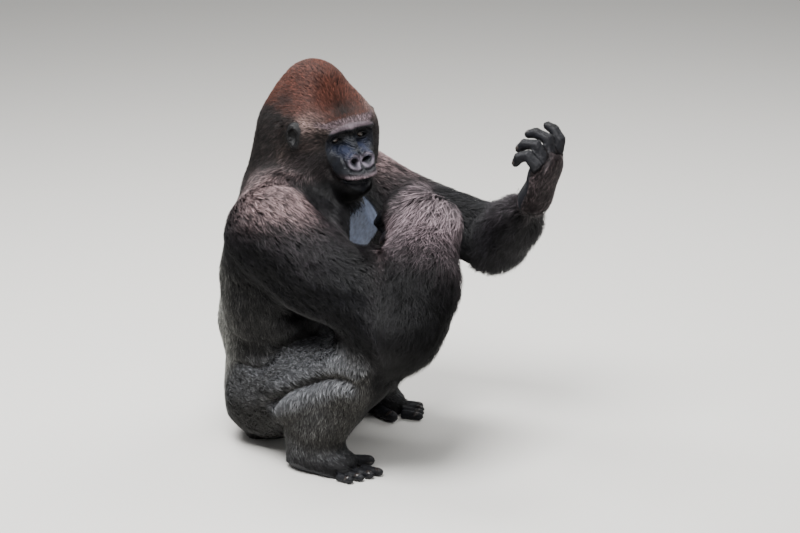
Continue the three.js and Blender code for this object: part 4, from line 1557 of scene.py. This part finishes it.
def coat_piece(name, own, kind):
    """One piece of coat, made of the locks numbered in own."""
    path = combed(own, kind)
    count, levels = path.shape[:2]
    tangent = unit(np.gradient(path, axis=1))
    side = unit(np.cross(root_normal[own][:, None], tangent))
    top = np.cross(tangent, side)
    breadth = lock_width[own][:, None, None] * np.array(kind.widths)[None, :, None]
    spine, side, top = path[:, :-1], side[:, :-1], top[:, :-1]
    edge = side * breadth / 2
    rings = np.stack([spine - edge, spine + top * breadth * RIDGE, spine + edge], axis=2)
    points = np.concatenate([rings.reshape(count, -1, 3), path[:, -1:]], axis=1)
    faces = []
    for ring in range(levels - 2):
        for corner in (3 * ring, 3 * ring + 1):
            faces += [(corner, corner + 1, corner + 4), (corner, corner + 4, corner + 3)]
    last = 3 * (levels - 2)
    faces += [(last, last + 1, last + 3), (last + 1, last + 2, last + 3)]
    triangles = (np.array(faces) + np.arange(count)[:, None, None] * points.shape[1]).reshape(-1, 3)
    mesh = mesh_from(name, points.reshape(-1, 3), triangles)

    level = np.append(np.repeat(kind.levels[:-1], 3), 1.0)
    blend = (level**TIP_BLEND)[None, :, None]
    colour = lock_start[own][:, None] * (1 - blend) + lock_end[own][:, None] * blend
    colour = np.concatenate([np.clip(colour, 0, 1), np.ones((count, len(level), 1))], axis=2)
    mesh.attributes.new("hair_colour", "FLOAT_COLOR", "POINT").data.foreach_set("color", colour.ravel())

    under = np.unique(root_triangle[own])
    used, corners = np.unique(skin_triangles[under], return_inverse=True)
    map_places = unwrapped(corners.reshape(-1, 3), skin_points[used])
    corner_places = map_places[np.searchsorted(under, root_triangle[own])]
    place = np.einsum("nc,nck->nk", corner_weight[own], corner_places)
    across = np.append(np.tile([-0.5, 0.0, 0.5], levels - 1), 0.0)
    patch = np.stack([across, level - 0.5], axis=1) * PATCH
    uv = np.clip(place[:, None] + patch, 0, 1).reshape(-1, 2)
    mesh.uv_layers.new(name="OFBake").data.foreach_set("uv", uv[triangles.ravel()].ravel())
    return piece_from(name, mesh)

# %% [markdown]
# ## Hair and hide
#
# Hair is keratin and shines along its length. Each lock already has a shape that catches the light, so it
# needs only a colour and a wide soft gloss. Hide is a black leather that grease keeps from being matt. Its
# creases are a few tenths of a millimetre deep, so they are a bump: cells for the creases and a finer noise
# for the pores.

# %% Materials of coat and hide
MOTTLES = 90.0  # in a metre: patches of paler and darker hide, 11 mm across
CREASES = 260.0  # in a metre: the cells are 4 mm across; real ones, about 1 mm, wouldn't show
PORES = 700.0  # in a metre: 1.4 mm apart, also coarser than real ones
CREASE_DEPTH = 1.2 * MM  # of the bump: deeper than real creases, as the cells are wider


def hair_material():
    """Keratin, which refracts like a hard plastic. A lock is many hairs, so its shine is spread wide."""
    made, tree = material("keratin_hair")
    colour = add(tree, "Attribute", {"attribute_name": "hair_colour"})
    shader = add(
        tree,
        "BsdfPrincipled",
        Base_Color=colour.outputs["Color"],
        Roughness=0.55,
        IOR=1.55,
        Specular_IOR_Level=0.18,
    )
    finished(tree, shader)
    return made


def hide_material():
    """Black hide. Grease gives it a soft shine, and fine creases break the shine up."""
    made, tree = material("gorilla_hide")
    place = add(tree, "TexCoord").outputs["Object"]
    colour = add(tree, "Attribute", {"attribute_name": "hide_colour"})
    mottle = add(tree, "TexNoise", Vector=place, Scale=MOTTLES, Detail=3.0)
    tone = add(
        tree, "MapRange", Value=mottle.outputs["Fac"], From_Min=0.3, From_Max=0.7, To_Min=0.75, To_Max=1.25
    )
    shade = add(tree, "VectorMath", {"operation": "SCALE"}, _0=colour.outputs["Color"], Scale=tone.outputs[0])
    cells = add(tree, "TexVoronoi", {"feature": "DISTANCE_TO_EDGE"}, Vector=place, Scale=CREASES)
    pores = add(tree, "TexNoise", Vector=place, Scale=PORES, Detail=2.0)
    ridge = add(tree, "MapRange", Value=cells.outputs["Distance"], From_Max=0.25)
    relief = add(
        tree, "Math", {"operation": "MULTIPLY_ADD"}, _0=pores.outputs["Fac"], _1=0.4, _2=ridge.outputs[0]
    )
    bump = add(tree, "Bump", Strength=0.35, Distance=CREASE_DEPTH, Height=relief.outputs[0])
    shader = add(
        tree,
        "BsdfPrincipled",
        Base_Color=shade.outputs[0],
        Roughness=0.52,
        IOR=1.45,
        Specular_IOR_Level=0.32,
        Normal=bump.outputs[0],
    )
    finished(tree, shader)
    return made

# %% Cover the body


def is_part(*regions):
    """The numbers of the locks that grow on these parts, by region or by node."""
    wanted = [node for node in flesh_nodes if node in regions or region_of(node) in regions]
    return np.flatnonzero(np.isin(root_part, wanted))


trunk_locks = is_part("trunk")
BACK_BEGINS = 30 * MM  # behind the middle of the trunk
behind = root[trunk_locks, 0] < trunk_centre[0] - BACK_BEGINS
high = root[trunk_locks, 2] > trunk_centre[2]
COAT_PIECES = {  # the locks of each piece, their kind, and a slot name
    "coat_head": (is_part("head", "ear"), SHORT, "coat_crown"),
    "coat_face": (is_part("face"), SHORT, "coat_brown"),
    "coat_neck": (is_part("neck"), SHORT, "coat_brown"),
    "coat_back_upper": (trunk_locks[behind & high], SHORT, "coat_silver"),
    "coat_back_lower": (trunk_locks[behind & ~high], SHORT, "coat_silver"),
    "coat_front": (trunk_locks[~behind], SHORT, "coat_black"),
    "coat_upper_arm_right": (is_part("upper_arm_right"), SHORT, "coat_black"),
    "coat_upper_arm_left": (is_part("upper_arm_left"), SHORT, "coat_black"),
    "coat_forearm_right": (is_part("forearm_right"), LONG, "coat_black"),
    "coat_forearm_left": (is_part("forearm_left"), LONG, "coat_black"),
    "coat_hands_and_feet": (is_part("hand", "finger", "foot", "toe"), SHORT, "coat_black"),
    "coat_thighs": (is_part("thigh"), SHORT, "coat_silver"),
    "coat_lower_legs": (is_part("lower_leg"), SHORT, "coat_silver"),
}
hair = hair_material()
coat_total = 0
for name, (own, kind, finish) in COAT_PIECES.items():
    piece = coat_piece(name, own, kind)
    piece.data.materials.append(hair)
    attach(piece, "root")
    coat_total += len(piece.data.polygons)
    print(name, len(own), "locks,", len(piece.data.polygons), "triangles")

skin_rgba = np.concatenate([skin_colour, np.ones((len(skin_colour), 1))], axis=1)
skin.attributes.new("hide_colour", "FLOAT_COLOR", "POINT").data.foreach_set("color", skin_rgba.ravel())
skin_piece = piece_from("skin", skin)
skin_piece.data.materials.append(hide_material())
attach(skin_piece, "root")
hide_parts(*flesh_nodes)
print("Coat triangles:", coat_total, "and skin triangles:", len(skin_triangles))

# %% [markdown]
# ## Eyes
#
# A gorilla's eye shows little but its brown iris. The white of the eye is dark too. The cornea stands out a
# little over the iris, and the wet surface mirrors the lights, which gives the eye its life. An iris could
# be cut as a disc of its own, but at this size a ball whose colour runs by the angle from the pupil shows
# the same.

# %% The eye's surface
GAZE = unit(head_ahead * 0.83 - head_left * 0.36 + head_up * 0.24)  # to its right and a little up
IRIS_EDGE = 27  # degrees from the middle of the pupil
CORNEA_BULGE = 0.05
EYE_SPAN = 60.0  # degrees over which the colours of the eye run
EYE_COLOURS = (
    (0.0, "#020202"),
    (9 / EYE_SPAN, "#020202"),
    (11 / EYE_SPAN, "#40291a"),
    (22 / EYE_SPAN, "#33200f"),
    (IRIS_EDGE / EYE_SPAN, "#120a06"),
    (32 / EYE_SPAN, "#221a17"),
    (1.0, "#0d0a09"),
)


def eye_surface():
    """The eye's colours by the angle from the pupil, under a wet film."""
    made, tree = material("wet_eye")
    angle = add(tree, "Attribute", {"attribute_name": "from_pupil"})
    bands = add(tree, "ValToRGB", Fac=angle.outputs["Fac"])
    stops = bands.color_ramp.elements
    for at, _ in EYE_COLOURS[1:-1]:
        stops.new(at)
    for stop, (at, code) in zip(stops, EYE_COLOURS):
        stop.position = at
        stop.color = opaque(code)
    shader = add(
        tree,
        "BsdfPrincipled",
        Base_Color=bands.outputs["Color"],
        Roughness=0.12,
        IOR=1.38,
        Coat_Weight=1.0,
    )
    finished(tree, shader)
    return made

# %% Place the eyes
wet_eye = eye_surface()
for side in SIDES:
    points, triangles = ball(np.zeros(3), 1.0, 5)
    angle = np.degrees(np.arccos(np.clip(points @ GAZE, -1, 1)))
    radius = EYE_RADIUS * (1 + CORNEA_BULGE * (1 - ramp(angle, IRIS_EDGE * 0.7, IRIS_EDGE * 1.3)))
    mesh = mesh_from(f"eyeball_{side}", eyes[side] + points * radius[:, None], triangles)
    mesh.attributes.new("from_pupil", "FLOAT", "POINT").data.foreach_set("value", angle / EYE_SPAN)
    eyeball = piece_from(f"eyeball_{side}", mesh)
    eyeball.data.materials.append(wet_eye)
    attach(eyeball, "root")
    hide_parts(f"eye_{side}")
    print(f"eyeball_{side} reaches", round(radius.max() / MM, 1), "mm from its middle")

# %% [markdown]
# ## Nails
#
# Fingers and toes end in flat dark nails, a little arched. Pressing them out of the skin would need a far
# finer mesh there. So each is a small shield laid on the back of the last bone, with its edges sunk in the
# skin.

# %% Make the nails
NAIL_LENGTH, NAIL_ARC = 15 * MM, math.radians(58)
NAIL_STEPS = 9
TIP_REACH = 16 * MM
NAIL_BACK = 6 * MM  # how far the free edge stays behind the tip
NAIL_HEIGHT = 1.2 * MM
NAIL_END = 0.96  # the ends are sunk almost as deep as the sides
NAIL_TAPER = 0.15  # how much narrower the free end is


def nail(digit):
    """A shield of points over the back of the digit's tip, and its faces."""
    line = digit_lines[digit]
    along = unit(line[-1] - line[-2])
    outward = np.array([0.0, 0.0, 1.0])
    if digit.removesuffix("_right").removesuffix("_left") in FINGERS:
        outward = line[-2] - (line[-1] + line[-3]) / 2
    outward = unit(outward - along * (outward @ along))
    own = points_of(skin)[skin_node == flesh_nodes.index(digit)]
    own = own[np.linalg.norm(own - line[-1], axis=1) < TIP_REACH]
    radius = np.median(distance_to(own, line))
    t, u = np.meshgrid(np.linspace(0, 1, NAIL_STEPS), np.linspace(-1, 1, NAIL_STEPS), indexing="ij")
    rim = np.maximum(np.abs(u), np.abs(2 * t - 1) * NAIL_END) ** 4
    turn = u * NAIL_ARC * (1 - NAIL_TAPER * t**2)
    above = outward * np.cos(turn)[..., None] + np.cross(along, outward) * np.sin(turn)[..., None]
    aim = line[-1] + along * ((t - 1) * NAIL_LENGTH - NAIL_BACK)[..., None] + above * radius
    points = []
    for place, edge in zip(aim.reshape(-1, 3).tolist(), rim.ravel()):
        landed, facing = skin_tree.find_nearest(place)[:2]
        points.append(np.array(landed) + np.array(facing) * (NAIL_HEIGHT - 2 * NAIL_HEIGHT * edge))
    corner = np.arange(NAIL_STEPS * (NAIL_STEPS - 1)).reshape(-1, NAIL_STEPS)[:, :-1].ravel()
    faces = np.stack([corner, corner + NAIL_STEPS, corner + NAIL_STEPS + 1, corner + 1], axis=1)
    return np.maximum(points, (-np.inf, -np.inf, 0)), faces


horn, horn_tree = material("nail_horn")  # dense keratin, worn smooth, so it shines more than hair
finished(horn_tree, add(horn_tree, "BsdfPrincipled", Base_Color=opaque("#2a2422"), Roughness=0.3, IOR=1.54))
nails = piece_from("nails", mesh_from("nails", *joined([nail(digit) for digit in digit_lines])))
nails.data.materials.append(horn)
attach(nails, "root")
print("Nails:", len(digit_lines))
